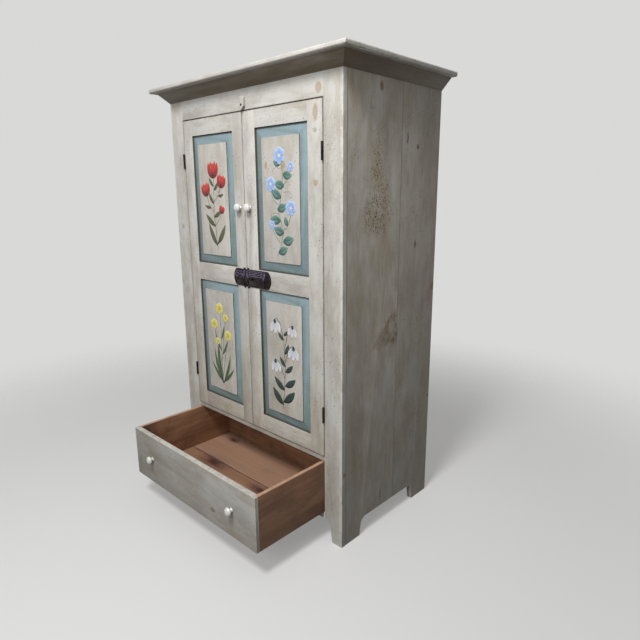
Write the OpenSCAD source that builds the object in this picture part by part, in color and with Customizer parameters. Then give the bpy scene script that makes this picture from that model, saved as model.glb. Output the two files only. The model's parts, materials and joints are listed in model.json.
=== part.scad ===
// Linen press: a painted pine cupboard with two panelled doors over one long drawer.
// Millimetres. +X is to the right of the face, the face looks towards -Y, +Z is up from the floor.
// The origin is on the floor, in the middle of the whole press as it stands with its drawer drawn out.

/* [Carcass] */
// Width across the two sides
carcass_w = 1050; // [1000:10:1200]
// Depth from the face to the back
carcass_d = 608; // [590:2:660]
// Height from the floor to the underside of the top board
carcass_h = 1838; // [1810:2:1900]
// Thickness of the side boards
side_t = 22; // [18:1:26]
// Depth of the front board of each side, where the seam between its two boards shows
side_seam = 340; // [300:5:380]
// Thickness of the back boards
back_t = 14; // [10:1:18]
// Height of the back boards' lower ends above the floor
back_z = 96; // [80:2:110]

/* [Face frame] */
// Thickness of the face frame
frame_t = 22; // [20:1:26]
// Width of each stile
stile_w = 92; // [84:1:100]
// Height of the frieze rail, from the doors' opening to the underside of the top board
frieze_h = 123; // [98:1:148]
// Height of the top of the rail between the doors and the drawer
door_bottom = 370; // [350:1:390]
// Thickness of the rail between the doors and the drawer
drawer_rail_t = 18; // [14:1:24]
// Height of the apron rail's lower edge
apron_z = 93; // [86:1:100]
// Height of the apron rail itself
apron_h = 29; // [24:1:36]
// Length of the face frame's tenons
frame_tenon = 32; // [20:1:40]

/* [Feet] */
// Width of each front foot at the floor
front_foot_w = 51; // [44:1:58]
// How far the front cut-out draws in from the floor to its curve
front_splay = 10; // [4:1:12]
// Depth of the side's front foot at the floor
side_foot_front = 113; // [100:1:130]
// Depth of the side's back foot at the floor
side_foot_back = 115; // [100:1:130]
// How far the side cut-out draws in from the floor to its curve
side_splay = 8; // [4:1:12]
// Height of the side cut-out
side_arch_h = 76; // [66:1:84]
// Radius of the curves at the cut-outs' upper corners
arch_r = 30; // [20:1:32]

/* [Top and cornice] */
// Thickness of the top board
top_t = 19; // [16:1:24]
// Overhang of the top board at the face and the sides
top_over = 68; // [60:1:76]
// Radius on the top board's long edges
top_round = 7; // [3:0.5:7.5]
// Height of the splayed cornice
cornice_h = 44; // [36:1:52]
// How far the cornice leans out
cornice_out = 42; // [34:1:50]
// Thickness of the cornice board
cornice_t = 16; // [10:1:18]

/* [Doors] */
// Thickness of the door frames
door_t = 22; // [20:1:24]
// Distance of the meeting line to the left of the middle
meeting_left = 11.5; // [0:0.5:16]
// Width of the left door's stiles
left_door_stile_w = 65; // [60:1:76]
// Width of the right door's stiles
right_door_stile_w = 75; // [66:1:82]
// Height of the top rails
door_top_rail_h = 67.5; // [60:0.5:76]
// Height of the middle rails
door_mid_rail_h = 80; // [78:1:90]
// Height of the middle rails' lower edge above the floor
door_mid_rail_z = 1006; // [980:1:1030]
// Height of the bottom rails
door_bottom_rail_h = 72; // [64:1:84]
// Length of the doors' tenons
door_tenon = 38; // [25:1:45]
// Gap at the hinges, between the doors and below them
door_gap = 2; // [1.6:0.1:3]
// Gap above the doors
door_top_gap = 3.5; // [2:0.5:5]

/* [Panels] */
// Width of the bevelled border round the raised field
border_w = 41; // [30:1:44]
// How far the raised field stands proud of the door's face
field_proud = 1.5; // [0.5:0.25:3]
// Depth of the bevel's inner edge behind the door's face
bevel_in_y = 2; // [1:0.5:4]
// Radius at the raised field's corners
field_r = 6; // [2:1:10]
// Thickness of the panels' tongues
tongue_t = 6; // [5:0.5:7]
// Depth of the grooves that hold the panels
groove_d = 9; // [7:0.5:10]

/* [Drawer] */
// How far the drawer is drawn out
drawer_pull = 358; // [200:1:400]
// Space between the back boards and the drawer when it is shut
drawer_back_space = 61; // [46:1:94]
// Thickness of the drawer front
drawer_front_t = 22; // [18:1:26]
// Thickness of the drawer's sides
drawer_side_t = 15; // [13:1:17]
// Thickness of the drawer's back
drawer_back_t = 15; // [12:1:18]
// Thickness of the drawer's bottom boards
drawer_bottom_t = 12; // [9:1:14]
// Height of the groove for the bottom above the sides' lower edge
drawer_groove_z = 14; // [10:1:20]
// Gap at each end of the drawer front
drawer_side_gap = 3; // [2:0.5:5]
// Gap above the drawer front
drawer_top_gap = 4.5; // [2:0.5:6]
// Depth of the drawer's front bottom board
drawer_seam = 268; // [220:2:300]

/* [Shelves] */
// Thickness of the shelves
shelf_t = 20; // [16:1:24]
// Height from the rail under the doors to the first shelf's top face, and from each shelf to the next
shelf_rise = 340; // [325:5:350]
// Width and height of the cleats' section
cleat = [18, 30];

/* [Knobs] */
// Diameter of a knob's head
knob_d = 33; // [26:0.5:36]
// Thickness of a knob's head
knob_head_t = 14; // [12:0.5:16]
// How far a knob stands out
knob_reach = 28; // [25:0.5:32]
// Diameter of a knob's neck
knob_neck_d = 12; // [11:0.5:15]
// Distance of the door knobs below the doors' opening's upper edge
door_knob_drop = 377; // [360:1:400]
// Distance of each door knob from its door's free edge
door_knob_in = 31; // [26:0.5:40]
// Distance of each drawer knob from the end of the drawer front
drawer_knob_in = 142; // [100:1:190]

/* [Ironwork] */
// Length of a hinge
hinge_h = 64; // [56:1:76]
// Distance of the upper hinges' middle below the doors' opening's upper edge
upper_hinge_drop = 177; // [155:1:195]
// Distance of the lower hinges' middle above the doors' opening's lower edge
lower_hinge_rise = 180; // [160:1:200]
// Diameter of a hinge knuckle
knuckle_d = 9; // [8:0.25:10]
// Height of the latch case and its keeper
latch_h = 74; // [70:1:76]
// Length of the latch case
latch_case_l = 151; // [140:1:160]
// Length of the keeper
keeper_l = 88; // [70:1:96]
// How far the latch stands out
latch_t = 15; // [13:0.5:18]
// How far the bolt is thrown
bolt_throw = 14; // [10:1:15]
// Distance of the thumb grip from the case's free end, bolt drawn back
thumb_x = 44; // [38:1:60]

/* [Turn button] */
// Length of the button's long arm above its screw
button_up = 31; // [26:1:36]
// Width of the button
button_w = 27; // [22:1:30]
// Thickness of the button
button_t = 12; // [9:1:14]
// Distance of the button's screw to the right of the middle
button_x = 3; // [-10:1:10]
// Height of the button's screw above the doors' opening
button_rise = 19; // [17:1:24]

/* [Hidden] */
$fn = 48;

cream = "#d6d0c2";
blue_green = "#7f9b9c";
bare_pine = "#9c7350";
old_pine = "#8a6a4a";
iron = "#2b2628";
porcelain = "#e9e7e0";

// Overlap of a cut past the face it opens, and the clearances of the joinery
cut = 1;
fit = 0.2;
screw_clear = 0.1;
slide_gap = 0.5;
wood_gap = 1;

half_w = carcass_w / 2;
inner_half = half_w - side_t;
opening_half = half_w - stile_w;
inner_back = carcass_d - back_t;
door_top = carcass_h - frieze_h;
front_y = -(carcass_d - drawer_pull - knob_reach) / 2;
drawer_open_z0 = apron_z + apron_h;
drawer_open_z1 = door_bottom - drawer_rail_t;

// Face frame tenons lie in the middle third of the frame
frame_tenon_t = frame_t / 3;
frame_tenon_y = frame_t / 3;
rail_shoulder = 4;

// Door frames: every height and edge of the two doors
hinge_gap = door_gap * 0.75;
door_edge = opening_half - hinge_gap;
door_z0 = door_bottom + door_gap;
door_z1 = door_top - door_top_gap;
left_free_x = meeting_left + door_gap / 2;
right_free_x = -meeting_left + door_gap / 2;
lower_z0 = door_z0 + door_bottom_rail_h;
lower_z1 = door_mid_rail_z;
upper_z0 = door_mid_rail_z + door_mid_rail_h;
upper_z1 = door_z1 - door_top_rail_h;
groove_y = 10;
groove_t = tongue_t + 2 * fit;
tenon_t = tongue_t + 1;
tenon_y = groove_y - fit - 0.3;
tenon_shoulder = groove_d + 1;
panel_edge_y = groove_y - 2;
panel_back_y = groove_y + fit + tongue_t;
shelf_y0 = door_t + 4;
shelf_zs = [for (n = [1:3]) door_bottom + n * shelf_rise];

// Hinges
knuckle_r = knuckle_d / 2;
pin_r = 2.2;
pin_clear = 0.05;
leaf_t = 1.6;
leaf_w = 15;
hinge_x = opening_half - hinge_gap / 2;
hinge_y = -knuckle_r - 0.5;
knuckle_l = hinge_h / 3;
hinge_zs = [door_bottom + lower_hinge_rise, door_top - upper_hinge_drop];
screw_pitch = hinge_h * 0.34;
hinge_screw_r = 1.7;
hinge_screw_head_r = 3.1;
hinge_screw_l = 18;

// Knobs and the screws that hold them from behind
knob_screw_r = 2.5;
knob_screw_head_r = 5;
knob_screw_in = 14;
door_knob_z = door_top - door_knob_drop;
left_knob_x = left_free_x + door_knob_in;
right_knob_x = right_free_x + door_knob_in;

// Drawer
drawer_half = opening_half - drawer_side_gap;
drawer_in_half = drawer_half - drawer_side_t;
drawer_d = inner_back - drawer_back_space;
drawer_z0 = drawer_open_z0 + slide_gap;
drawer_z1 = drawer_open_z1 - drawer_top_gap;
drawer_y0 = -drawer_pull;
drawer_y1 = drawer_y0 + drawer_d;
drawer_in_y = drawer_y0 + drawer_front_t;
drawer_lap = 8;
drawer_side_y0 = drawer_in_y - drawer_lap;
drawer_back_y = drawer_y1 - drawer_back_t;
drawer_back_in = 5;
drawer_back_z1 = drawer_z1 - 7;
bottom_z0 = drawer_z0 + drawer_groove_z;
bottom_z1 = bottom_z0 + drawer_bottom_t;
bottom_in = 6;
bottom_seam_y = drawer_in_y + drawer_seam;
drawer_knob_x = drawer_half - drawer_knob_in;
drawer_knob_z = (drawer_z0 + drawer_z1) / 2 + 4;
guide_gap = 2;
runner_w = 36;
runner_t = 22;
guide_h = 28;
stop_l = 20;

// Latch: the case on the right door, the keeper on the left one, the bolt between them
latch_z = door_mid_rail_z + door_mid_rail_h / 2;
latch_base_t = 3;
latch_flange = 3;
latch_wall = 4;
latch_flat = 14;
latch_hip = 8;
case_x0 = right_free_x;
case_x1 = case_x0 + latch_case_l;
case_sag = 20;
keeper_x1 = -left_free_x;
keeper_x0 = keeper_x1 - keeper_l;
keeper_sag = 18;
bolt_h = 23;
bolt_clear = 0.6;
keeper_clear = 1.6;
bolt_t = latch_t - latch_wall - 2 * bolt_clear;
bolt_tip = case_x0 + 0.5;
bolt_l = latch_case_l * 0.6;
grip_x = case_x0 + thumb_x;
grip_stem_r = 3;
grip_r = 5;
grip_reach = 6;
boss_r = 11;
boss_x = keeper_x1 - 20;
ear_w = 10;
ear_h = 6;
ear_in = 14.5;
latch_screw_r = 1.8;
latch_screw_head_r = 3.4;
latch_screw_l = 12;
ear_screw_z = latch_h / 2 + 1.5;
case_ear_x = case_x0 + 2 + ear_w / 2;
keeper_ear_x = keeper_x1 - ear_in;
case_screws = [
    [case_ear_x, latch_z - ear_screw_z], [case_ear_x, latch_z + ear_screw_z],
    [case_x1 - 12.5, latch_z - 18], [case_x1 - 12.5, latch_z + 18]
];
keeper_screws = [
    [keeper_ear_x, latch_z - ear_screw_z], [keeper_ear_x, latch_z + ear_screw_z],
    [keeper_x0 + 9.8, latch_z]
];

// Turn button, whose point clears the doors while its long arm is up
button_z = door_top + button_rise;
button_clear = 2;
button_down = button_rise + door_top_gap - button_clear;
button_gap = 0.5;
button_r = 8;
button_screw_r = 2.4;
button_screw_head_r = 4.5;
button_screw_end = frame_t - 4;

// The press stands with its face at front_y
module placed() {
    translate([0, front_y, 0]) children();
}

module placed_mirror() {
    translate([0, front_y, 0]) mirror([1, 0, 0]) children();
}

module slab(x0, x1, y0, y1, z0, z1) {
    translate([x0, y0, z0]) cube([x1 - x0, y1 - y0, z1 - z0]);
}

module rod_y(x, z, y0, y1, r) {
    translate([x, y1, z]) rotate([90, 0, 0]) cylinder(h = y1 - y0, r = r);
}

module rod_x(y, z, x0, x1, r) {
    translate([x0, y, z]) rotate([0, 90, 0]) cylinder(h = x1 - x0, r = r);
}

// Outline of a cut-out: splayed legs up to a flat top with round corners
module arch_outline(width, height, splay, r) {
    top_half = width / 2 - splay;
    polygon([
        [-width / 2, -cut], [width / 2, -cut], [width / 2, 0], [top_half, height - r],
        [-top_half, height - r], [-width / 2, 0]
    ]);
    translate([-(top_half - r), 0]) square([2 * (top_half - r), height]);
    for (s = [-1, 1]) translate([s * (top_half - r), height - r]) circle(r = r);
}

// Sides
module side_arch() {
    foot_span = carcass_d - side_foot_front - side_foot_back;
    translate([inner_half - cut, side_foot_front + foot_span / 2, 0])
        rotate([90, 0, 90])
            linear_extrude(side_t + 2 * cut)
                arch_outline(foot_span, side_arch_h, side_splay, arch_r);
}

module side_board(y0, y1) {
    color(cream) difference() {
        slab(inner_half, half_w, y0, y1, 0, carcass_h);
        side_arch();
    }
}

module right_side_front_board() {
    placed() side_board(frame_t, side_seam);
}

module right_side_back_board() {
    placed() side_board(side_seam, carcass_d);
}

module left_side_front_board() {
    placed_mirror() side_board(frame_t, side_seam);
}

module left_side_back_board() {
    placed_mirror() side_board(side_seam, carcass_d);
}

// Face frame
module front_arch() {
    translate([0, frame_t + cut, 0])
        rotate([90, 0, 0])
            linear_extrude(frame_t + 2 * cut)
                arch_outline(carcass_w - 2 * front_foot_w, apron_z, front_splay, arch_r);
}

module frame_mortise(z0, z1) {
    slab(opening_half - cut, opening_half + frame_tenon + fit, frame_tenon_y - fit,
         frame_tenon_y + frame_tenon_t + fit, z0 + rail_shoulder - fit, z1 - rail_shoulder + fit);
}

module hinge_rebate(x0, x1) {
    for (z = hinge_zs) slab(x0, x1, -cut, leaf_w + fit, z - hinge_h / 2 - fit, z + hinge_h / 2 + fit);
}

module hinge_screw_holes(x0, x1) {
    for (z = hinge_zs, s = [-1, 0, 1])
        rod_x(leaf_w / 2, z + s * screw_pitch, x0, x1, hinge_screw_r + screw_clear);
}

module frame_stile() {
    color(cream) difference() {
        slab(opening_half, half_w, 0, frame_t, 0, carcass_h);
        front_arch();
        frame_mortise(door_top, carcass_h);
        frame_mortise(drawer_open_z1, door_bottom);
        frame_mortise(apron_z, drawer_open_z0);
        hinge_rebate(opening_half - cut, opening_half + leaf_t + fit);
        hinge_screw_holes(opening_half, opening_half + hinge_screw_l + wood_gap);
    }
}

module right_stile() {
    placed() frame_stile();
}

module left_stile() {
    placed_mirror() frame_stile();
}

module frame_rail(z0, z1) {
    slab(-opening_half, opening_half, 0, frame_t, z0, z1);
    slab(-opening_half - frame_tenon, opening_half + frame_tenon, frame_tenon_y,
         frame_tenon_y + frame_tenon_t, z0 + rail_shoulder, z1 - rail_shoulder);
}

module frieze_rail() {
    color(cream) placed() difference() {
        frame_rail(door_top, carcass_h);
        rod_y(button_x, button_z, -cut, button_screw_end + wood_gap, button_screw_r + screw_clear);
    }
}

module drawer_rail() {
    color(cream) placed() frame_rail(drawer_open_z1, door_bottom);
}

module apron_rail() {
    color(cream) placed() frame_rail(apron_z, drawer_open_z0);
}

// Top board, with rounded front and side edges that meet in mitres at the corners
module top_board() {
    half = half_w + top_over;
    color(cream) placed() translate([0, 0, carcass_h]) intersection() {
        translate([0, carcass_d, 0]) rotate([90, 0, 0]) linear_extrude(carcass_d + top_over)
            edge_outline(-half, half, true);
        translate([half, 0, 0]) rotate([90, 0, -90]) linear_extrude(2 * half)
            edge_outline(-carcass_d, top_over, false);
    }
}

// Section of a board from u0 to u1, rounded at u1 and, if both is true, at u0 too
module edge_outline(u0, u1, both) {
    flat0 = both ? u0 + top_round : u0;
    flat1 = u1 - top_round;
    translate([flat0, 0]) square([flat1 - flat0, top_t]);
    translate([both ? u0 : flat0, top_round])
        square([u1 - (both ? u0 : flat0), top_t - 2 * top_round]);
    for (v = [top_round, top_t - top_round]) {
        translate([flat1, v]) circle(r = top_round);
        if (both) translate([flat0, v]) circle(r = top_round);
    }
}

// Cornice: a flat board that leans out from the face to the top board
module cornice_section() {
    across = cornice_t * sqrt(cornice_out * cornice_out + cornice_h * cornice_h) / cornice_h;
    back = cornice_out - across;
    polygon([
        [0, 0], [cornice_out, cornice_h], [back, cornice_h], [0, cornice_h - back * cornice_h / cornice_out]
    ]);
}

module front_cornice() {
    reach = cornice_out + cut;
    color(cream) placed() intersection() {
        translate([-half_w - reach, 0, carcass_h - cornice_h])
            rotate([90, 0, 90])
                linear_extrude(2 * (half_w + reach))
                    mirror([1, 0]) cornice_section();
        translate([0, 0, carcass_h - cornice_h - cut])
            linear_extrude(cornice_h + 2 * cut)
                polygon([[-half_w, 0], [half_w, 0], [half_w + reach, -reach], [-half_w - reach, -reach]]);
    }
}

module side_cornice() {
    reach = cornice_out + cut;
    color(cream) intersection() {
        translate([half_w, carcass_d, carcass_h - cornice_h])
            rotate([90, 0, 0])
                linear_extrude(carcass_d + reach)
                    cornice_section();
        translate([0, 0, carcass_h - cornice_h - cut])
            linear_extrude(cornice_h + 2 * cut)
                polygon([
                    [half_w, 0], [half_w + reach, -reach], [half_w + reach, carcass_d], [half_w, carcass_d]
                ]);
    }
}

module right_cornice() {
    placed() side_cornice();
}

module left_cornice() {
    placed_mirror() side_cornice();
}

// Floor, shelves and their cleats
module cupboard_floor() {
    color(old_pine) placed()
        slab(-inner_half, inner_half, frame_t, inner_back, drawer_open_z1, door_bottom);
}

module shelf(top_z) {
    color(old_pine) placed()
        slab(-inner_half + fit, inner_half - fit, shelf_y0, inner_back - fit, top_z - shelf_t, top_z);
}

module lower_shelf() {
    shelf(shelf_zs[0]);
}

module middle_shelf() {
    shelf(shelf_zs[1]);
}

module upper_shelf() {
    shelf(shelf_zs[2]);
}

module shelf_cleats() {
    undersides = concat([drawer_open_z1], [for (z = shelf_zs) z - shelf_t]);
    color(old_pine) placed() for (z = undersides) {
        slab(inner_half - cleat[0], inner_half, frame_t + cleat[0], inner_back, z - cleat[1], z);
        slab(-inner_half, -inner_half + cleat[0], frame_t + cleat[0], inner_back, z - cleat[1], z);
    }
}

// Back
module back_board(number) {
    pitch = 2 * inner_half / 3;
    x0 = -inner_half + number * pitch;
    color(old_pine) placed()
        slab(x0 + (number > 0 ? fit : 0), x0 + pitch - (number < 2 ? fit : 0), inner_back, carcass_d,
             back_z, carcass_h);
}

module back_left_board() {
    back_board(0);
}

module back_middle_board() {
    back_board(1);
}

module back_right_board() {
    back_board(2);
}

// Runners, each with its guide, and the drawer's stops
module drawer_runner() {
    guide_x = drawer_half + guide_gap;
    color(old_pine) union() {
        slab(guide_x - runner_w, inner_half, frame_t, inner_back, drawer_open_z0 - runner_t, drawer_open_z0);
        slab(guide_x, inner_half, frame_t, inner_back, drawer_open_z0 - runner_t, drawer_open_z0 + guide_h);
    }
}

module right_drawer_runner() {
    placed() drawer_runner();
}

module left_drawer_runner() {
    placed_mirror() drawer_runner();
}

module drawer_stops() {
    closed_back = drawer_d + fit;
    color(old_pine) placed() for (m = [0, 1]) mirror([m, 0, 0])
        slab(drawer_in_half, drawer_half + guide_gap, closed_back, closed_back + stop_l,
             drawer_open_z0, drawer_open_z0 + stop_l);
}

// Countersunk screw along +X, the face of its head at x = 0. With a clearance it is the hole.
module countersunk(clear) {
    rotate([0, 90, 0]) {
        cylinder(h = hinge_screw_l, r = hinge_screw_r + clear);
        cylinder(h = leaf_t - fit, r1 = hinge_screw_head_r + clear, r2 = hinge_screw_r + clear);
    }
    if (clear > 0) rotate([0, -90, 0]) cylinder(h = cut, r = hinge_screw_head_r + clear);
}

// Round-headed screw along +Y, its head standing towards -Y from y = 0
module round_headed(head_r, shank_r, length) {
    rotate([-90, 0, 0]) cylinder(h = length, r = shank_r);
    intersection() {
        translate([0, head_r * 0.9, 0]) sphere(r = head_r * 1.35);
        rotate([90, 0, 0]) cylinder(h = head_r, r = head_r);
    }
}

// Hinges: each has a frame leaf with two knuckles, a door leaf with one between them, and a pin
module hinge_bore() {
    translate([hinge_x, hinge_y, -hinge_h]) cylinder(h = 2 * hinge_h, r = pin_r + pin_clear);
}

module hinge_knuckle(leaf_x, z0, z1) {
    translate([hinge_x, hinge_y, z0]) cylinder(h = z1 - z0, r = knuckle_r);
    slab(leaf_x, leaf_x + leaf_t, hinge_y, leaf_w, z0, z1);
}

module frame_leaf() {
    difference() {
        union() {
            hinge_knuckle(opening_half, -hinge_h / 2, -knuckle_l / 2 - fit);
            hinge_knuckle(opening_half, knuckle_l / 2 + fit, hinge_h / 2);
            slab(opening_half, opening_half + leaf_t, 0, leaf_w, -hinge_h / 2, hinge_h / 2);
        }
        hinge_bore();
        for (s = [-1, 0, 1])
            translate([opening_half, leaf_w / 2, s * screw_pitch]) countersunk(screw_clear);
    }
}

module door_leaf() {
    difference() {
        union() {
            hinge_knuckle(door_edge - leaf_t, -knuckle_l / 2 + fit, knuckle_l / 2 - fit);
            slab(door_edge - leaf_t, door_edge, 0, leaf_w, -hinge_h / 2, hinge_h / 2);
        }
        hinge_bore();
        for (s = [-1, 0, 1])
            translate([door_edge, leaf_w / 2, s * screw_pitch]) mirror([1, 0, 0]) countersunk(screw_clear);
    }
}

module door_hinge_leaves() {
    for (z = hinge_zs) translate([0, 0, z]) door_leaf();
}

module frame_hinge_leaves() {
    color(iron) placed() for (m = [0, 1], z = hinge_zs) mirror([m, 0, 0]) translate([0, 0, z]) frame_leaf();
}

module hinge_pins() {
    color(iron) placed() for (m = [0, 1], z = hinge_zs) mirror([m, 0, 0])
        translate([hinge_x, hinge_y, z - hinge_h / 2]) cylinder(h = hinge_h, r = pin_r);
}

module frame_screws() {
    color(iron) placed() {
        for (m = [0, 1], z = hinge_zs, s = [-1, 0, 1]) mirror([m, 0, 0])
            translate([opening_half, leaf_w / 2, z + s * screw_pitch]) countersunk(0);
        translate([button_x, -button_gap - button_t - button_gap, button_z])
            round_headed(button_screw_head_r, button_screw_r, button_screw_end + button_t + 2 * button_gap);
    }
}

// Door frames. A door is drawn as the right one, its free edge at free_x and its hinges at door_edge.
module panel_grooves(x0, x1) {
    for (z = [[lower_z0, lower_z1], [upper_z0, upper_z1]])
        slab(x0, x1, groove_y, groove_y + groove_t, z[0] - groove_d, z[1] + groove_d);
}

function tenon_spans() = [
    [door_z0 + tenon_shoulder, lower_z0 - tenon_shoulder],
    [lower_z1 + tenon_shoulder, upper_z0 - tenon_shoulder],
    [upper_z1 + tenon_shoulder, door_z1 - tenon_shoulder]
];

module door_mortises(x0, x1) {
    for (z = tenon_spans())
        slab(x0, x1, tenon_y - fit, tenon_y + tenon_t + fit, z[0] - fit, z[1] + fit);
}

module door_hinge_stile(stile) {
    x0 = door_edge - stile;
    difference() {
        slab(x0, door_edge, 0, door_t, door_z0, door_z1);
        panel_grooves(x0 - cut, x0 + groove_d);
        door_mortises(x0 - cut, x0 + door_tenon + wood_gap);
        hinge_rebate(door_edge - leaf_t - fit, door_edge + cut);
        hinge_screw_holes(door_edge - hinge_screw_l - wood_gap, door_edge);
    }
}

module door_meeting_stile(free_x, stile) {
    x1 = free_x + stile;
    difference() {
        slab(free_x, x1, 0, door_t, door_z0, door_z1);
        panel_grooves(x1 - groove_d, x1 + cut);
        door_mortises(x1 - door_tenon - wood_gap, x1 + cut);
        rod_y(free_x + door_knob_in, door_knob_z, -cut, door_t + cut, knob_screw_r + screw_clear);
    }
}

module door_rail(free_x, stile, number, z0, z1) {
    x0 = free_x + stile;
    x1 = door_edge - stile;
    tenon = tenon_spans()[number];
    difference() {
        slab(x0, x1, 0, door_t, z0, z1);
        if (number < 2) slab(x0 - cut, x1 + cut, groove_y, groove_y + groove_t, z1 - groove_d, z1 + cut);
        if (number > 0) slab(x0 - cut, x1 + cut, groove_y, groove_y + groove_t, z0 - cut, z0 + groove_d);
    }
    slab(x0 - door_tenon, x1 + door_tenon, tenon_y, tenon_y + tenon_t, tenon[0], tenon[1]);
}

// Outline of a rectangle with round corners
module rounded_outline(x0, x1, y0, y1, r) {
    translate([x0 + r, y0]) square([x1 - x0 - 2 * r, y1 - y0]);
    translate([x0, y0 + r]) square([x1 - x0, y1 - y0 - 2 * r]);
    for (x = [x0 + r, x1 - r], y = [y0 + r, y1 - r]) translate([x, y]) circle(r = r);
}

// Section of a panel between its sight edges, bevelled up to the step round its field
module bevel_outline(u0, u1) {
    polygon([
        [u0, panel_back_y], [u0, panel_edge_y], [u0 + border_w, bevel_in_y],
        [u1 - border_w, bevel_in_y], [u1, panel_edge_y], [u1, panel_back_y]
    ]);
}

// Raised panel: a tongue all round, a mitred bevel and a field that stands proud of the frame
module door_panel(free_x, stile, z0, z1) {
    x0 = free_x + stile;
    x1 = door_edge - stile;
    tongue = groove_d - wood_gap;
    intersection() {
        translate([0, 0, z0]) linear_extrude(z1 - z0) bevel_outline(x0 + fit, x1 - fit);
        translate([x0, 0, 0]) rotate([90, 0, 90]) linear_extrude(x1 - x0)
            mirror([1, -1]) bevel_outline(z0 + fit, z1 - fit);
    }
    slab(x0 - tongue, x1 + tongue, groove_y + fit, panel_back_y, z0 - tongue, z1 + tongue);
    translate([0, groove_y + cut, 0]) rotate([90, 0, 0]) linear_extrude(groove_y + cut + field_proud)
        rounded_outline(x0 + border_w, x1 - border_w, z0 + border_w, z1 - border_w, field_r);
}

// Knob: a foot, a waisted neck and a domed head, with a blind bore for its screw
module knob() {
    head = knob_d / 2;
    neck = knob_neck_d / 2;
    back = knob_reach - knob_head_t;
    rotate([90, 0, 0]) rotate_extrude() difference() {
        polygon([
            [0, 0], [neck + 3.5, 0], [neck + 3.5, 1.5], [neck + 1.5, 4], [neck, 7], [neck, back - 2],
            [neck + 1.5, back - 0.5], [head - 4, back + 1], [head - 1.2, back + 0.22 * knob_head_t],
            [head, back + 0.45 * knob_head_t], [head - 0.7, back + 0.62 * knob_head_t],
            [head - 3.2, back + 0.8 * knob_head_t], [head - 7.5, back + 0.94 * knob_head_t], [0, knob_reach]
        ]);
        translate([-cut, -cut]) square([knob_screw_r + screw_clear + cut, knob_screw_in + 2 * cut]);
    }
}

module knob_screw(board_t) {
    translate([0, board_t, 0]) mirror([0, 1, 0])
        round_headed(knob_screw_head_r, knob_screw_r, board_t + knob_screw_in);
}

module door_screws(knob_x) {
    for (z = hinge_zs, s = [-1, 0, 1])
        translate([door_edge, leaf_w / 2, z + s * screw_pitch]) mirror([1, 0, 0]) countersunk(0);
    translate([knob_x, 0, door_knob_z]) knob_screw(door_t);
}

module latch_screws(places) {
    for (p = places) translate([p[0], -latch_base_t, p[1]])
        round_headed(latch_screw_head_r, latch_screw_r, latch_screw_l);
}

module latch_screw_holes(places) {
    for (p = places)
        rod_y(p[0], p[1], -latch_base_t - cut, latch_screw_l - latch_base_t + fit,
              latch_screw_r + screw_clear);
}

// Left door
module left_door_hinge_stile() {
    color(cream) placed_mirror() door_hinge_stile(left_door_stile_w);
}

module left_door_meeting_stile() {
    color(cream) placed() difference() {
        mirror([1, 0, 0]) door_meeting_stile(left_free_x, left_door_stile_w);
        latch_screw_holes(keeper_screws);
    }
}

module left_door_top_rail() {
    color(cream) placed_mirror() door_rail(left_free_x, left_door_stile_w, 2, upper_z1, door_z1);
}

module left_door_middle_rail() {
    color(cream) placed() difference() {
        mirror([1, 0, 0]) door_rail(left_free_x, left_door_stile_w, 1, lower_z1, upper_z0);
        latch_screw_holes(keeper_screws);
    }
}

module left_door_bottom_rail() {
    color(cream) placed_mirror() door_rail(left_free_x, left_door_stile_w, 0, door_z0, lower_z0);
}

module left_door_upper_panel() {
    color(blue_green) placed_mirror() door_panel(left_free_x, left_door_stile_w, upper_z0, upper_z1);
}

module left_door_lower_panel() {
    color(blue_green) placed_mirror() door_panel(left_free_x, left_door_stile_w, lower_z0, lower_z1);
}

module left_door_knob() {
    color(porcelain) placed_mirror() translate([left_knob_x, 0, door_knob_z]) knob();
}

module left_door_hinge_leaves() {
    color(iron) placed_mirror() door_hinge_leaves();
}

module left_door_screws() {
    color(iron) placed() {
        mirror([1, 0, 0]) door_screws(left_knob_x);
        latch_screws(keeper_screws);
    }
}

// Right door
module right_door_hinge_stile() {
    color(cream) placed() door_hinge_stile(right_door_stile_w);
}

module right_door_meeting_stile() {
    color(cream) placed() difference() {
        door_meeting_stile(right_free_x, right_door_stile_w);
        latch_screw_holes(case_screws);
    }
}

module right_door_top_rail() {
    color(cream) placed() door_rail(right_free_x, right_door_stile_w, 2, upper_z1, door_z1);
}

module right_door_middle_rail() {
    color(cream) placed() difference() {
        door_rail(right_free_x, right_door_stile_w, 1, lower_z1, upper_z0);
        latch_screw_holes(case_screws);
    }
}

module right_door_bottom_rail() {
    color(cream) placed() door_rail(right_free_x, right_door_stile_w, 0, door_z0, lower_z0);
}

module right_door_upper_panel() {
    color(blue_green) placed() door_panel(right_free_x, right_door_stile_w, upper_z0, upper_z1);
}

module right_door_lower_panel() {
    color(blue_green) placed() door_panel(right_free_x, right_door_stile_w, lower_z0, lower_z1);
}

module right_door_knob() {
    color(porcelain) placed() translate([right_knob_x, 0, door_knob_z]) knob();
}

module right_door_hinge_leaves() {
    color(iron) placed() door_hinge_leaves();
}

module right_door_screws() {
    color(iron) placed() {
        door_screws(right_knob_x);
        latch_screws(case_screws);
    }
}

// Latch. Its base and its low hipped roof are drawn about the latch's own middle height.
module latch_base(x0, x1, sag, ear_x) {
    end_r = (latch_h * latch_h / 4 + sag * sag) / (2 * sag);
    rotate([90, 0, 0]) linear_extrude(latch_base_t) {
        translate([x0, -latch_h / 2]) square([x1 - sag - x0, latch_h]);
        translate([ear_x - ear_w / 2, -latch_h / 2 - ear_h]) square([ear_w, latch_h + 2 * ear_h]);
        intersection() {
            translate([x1 - end_r, 0]) circle(r = end_r);
            translate([x1 - sag - fit, -latch_h / 2]) square([sag + fit + cut, latch_h]);
        }
    }
}

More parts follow.
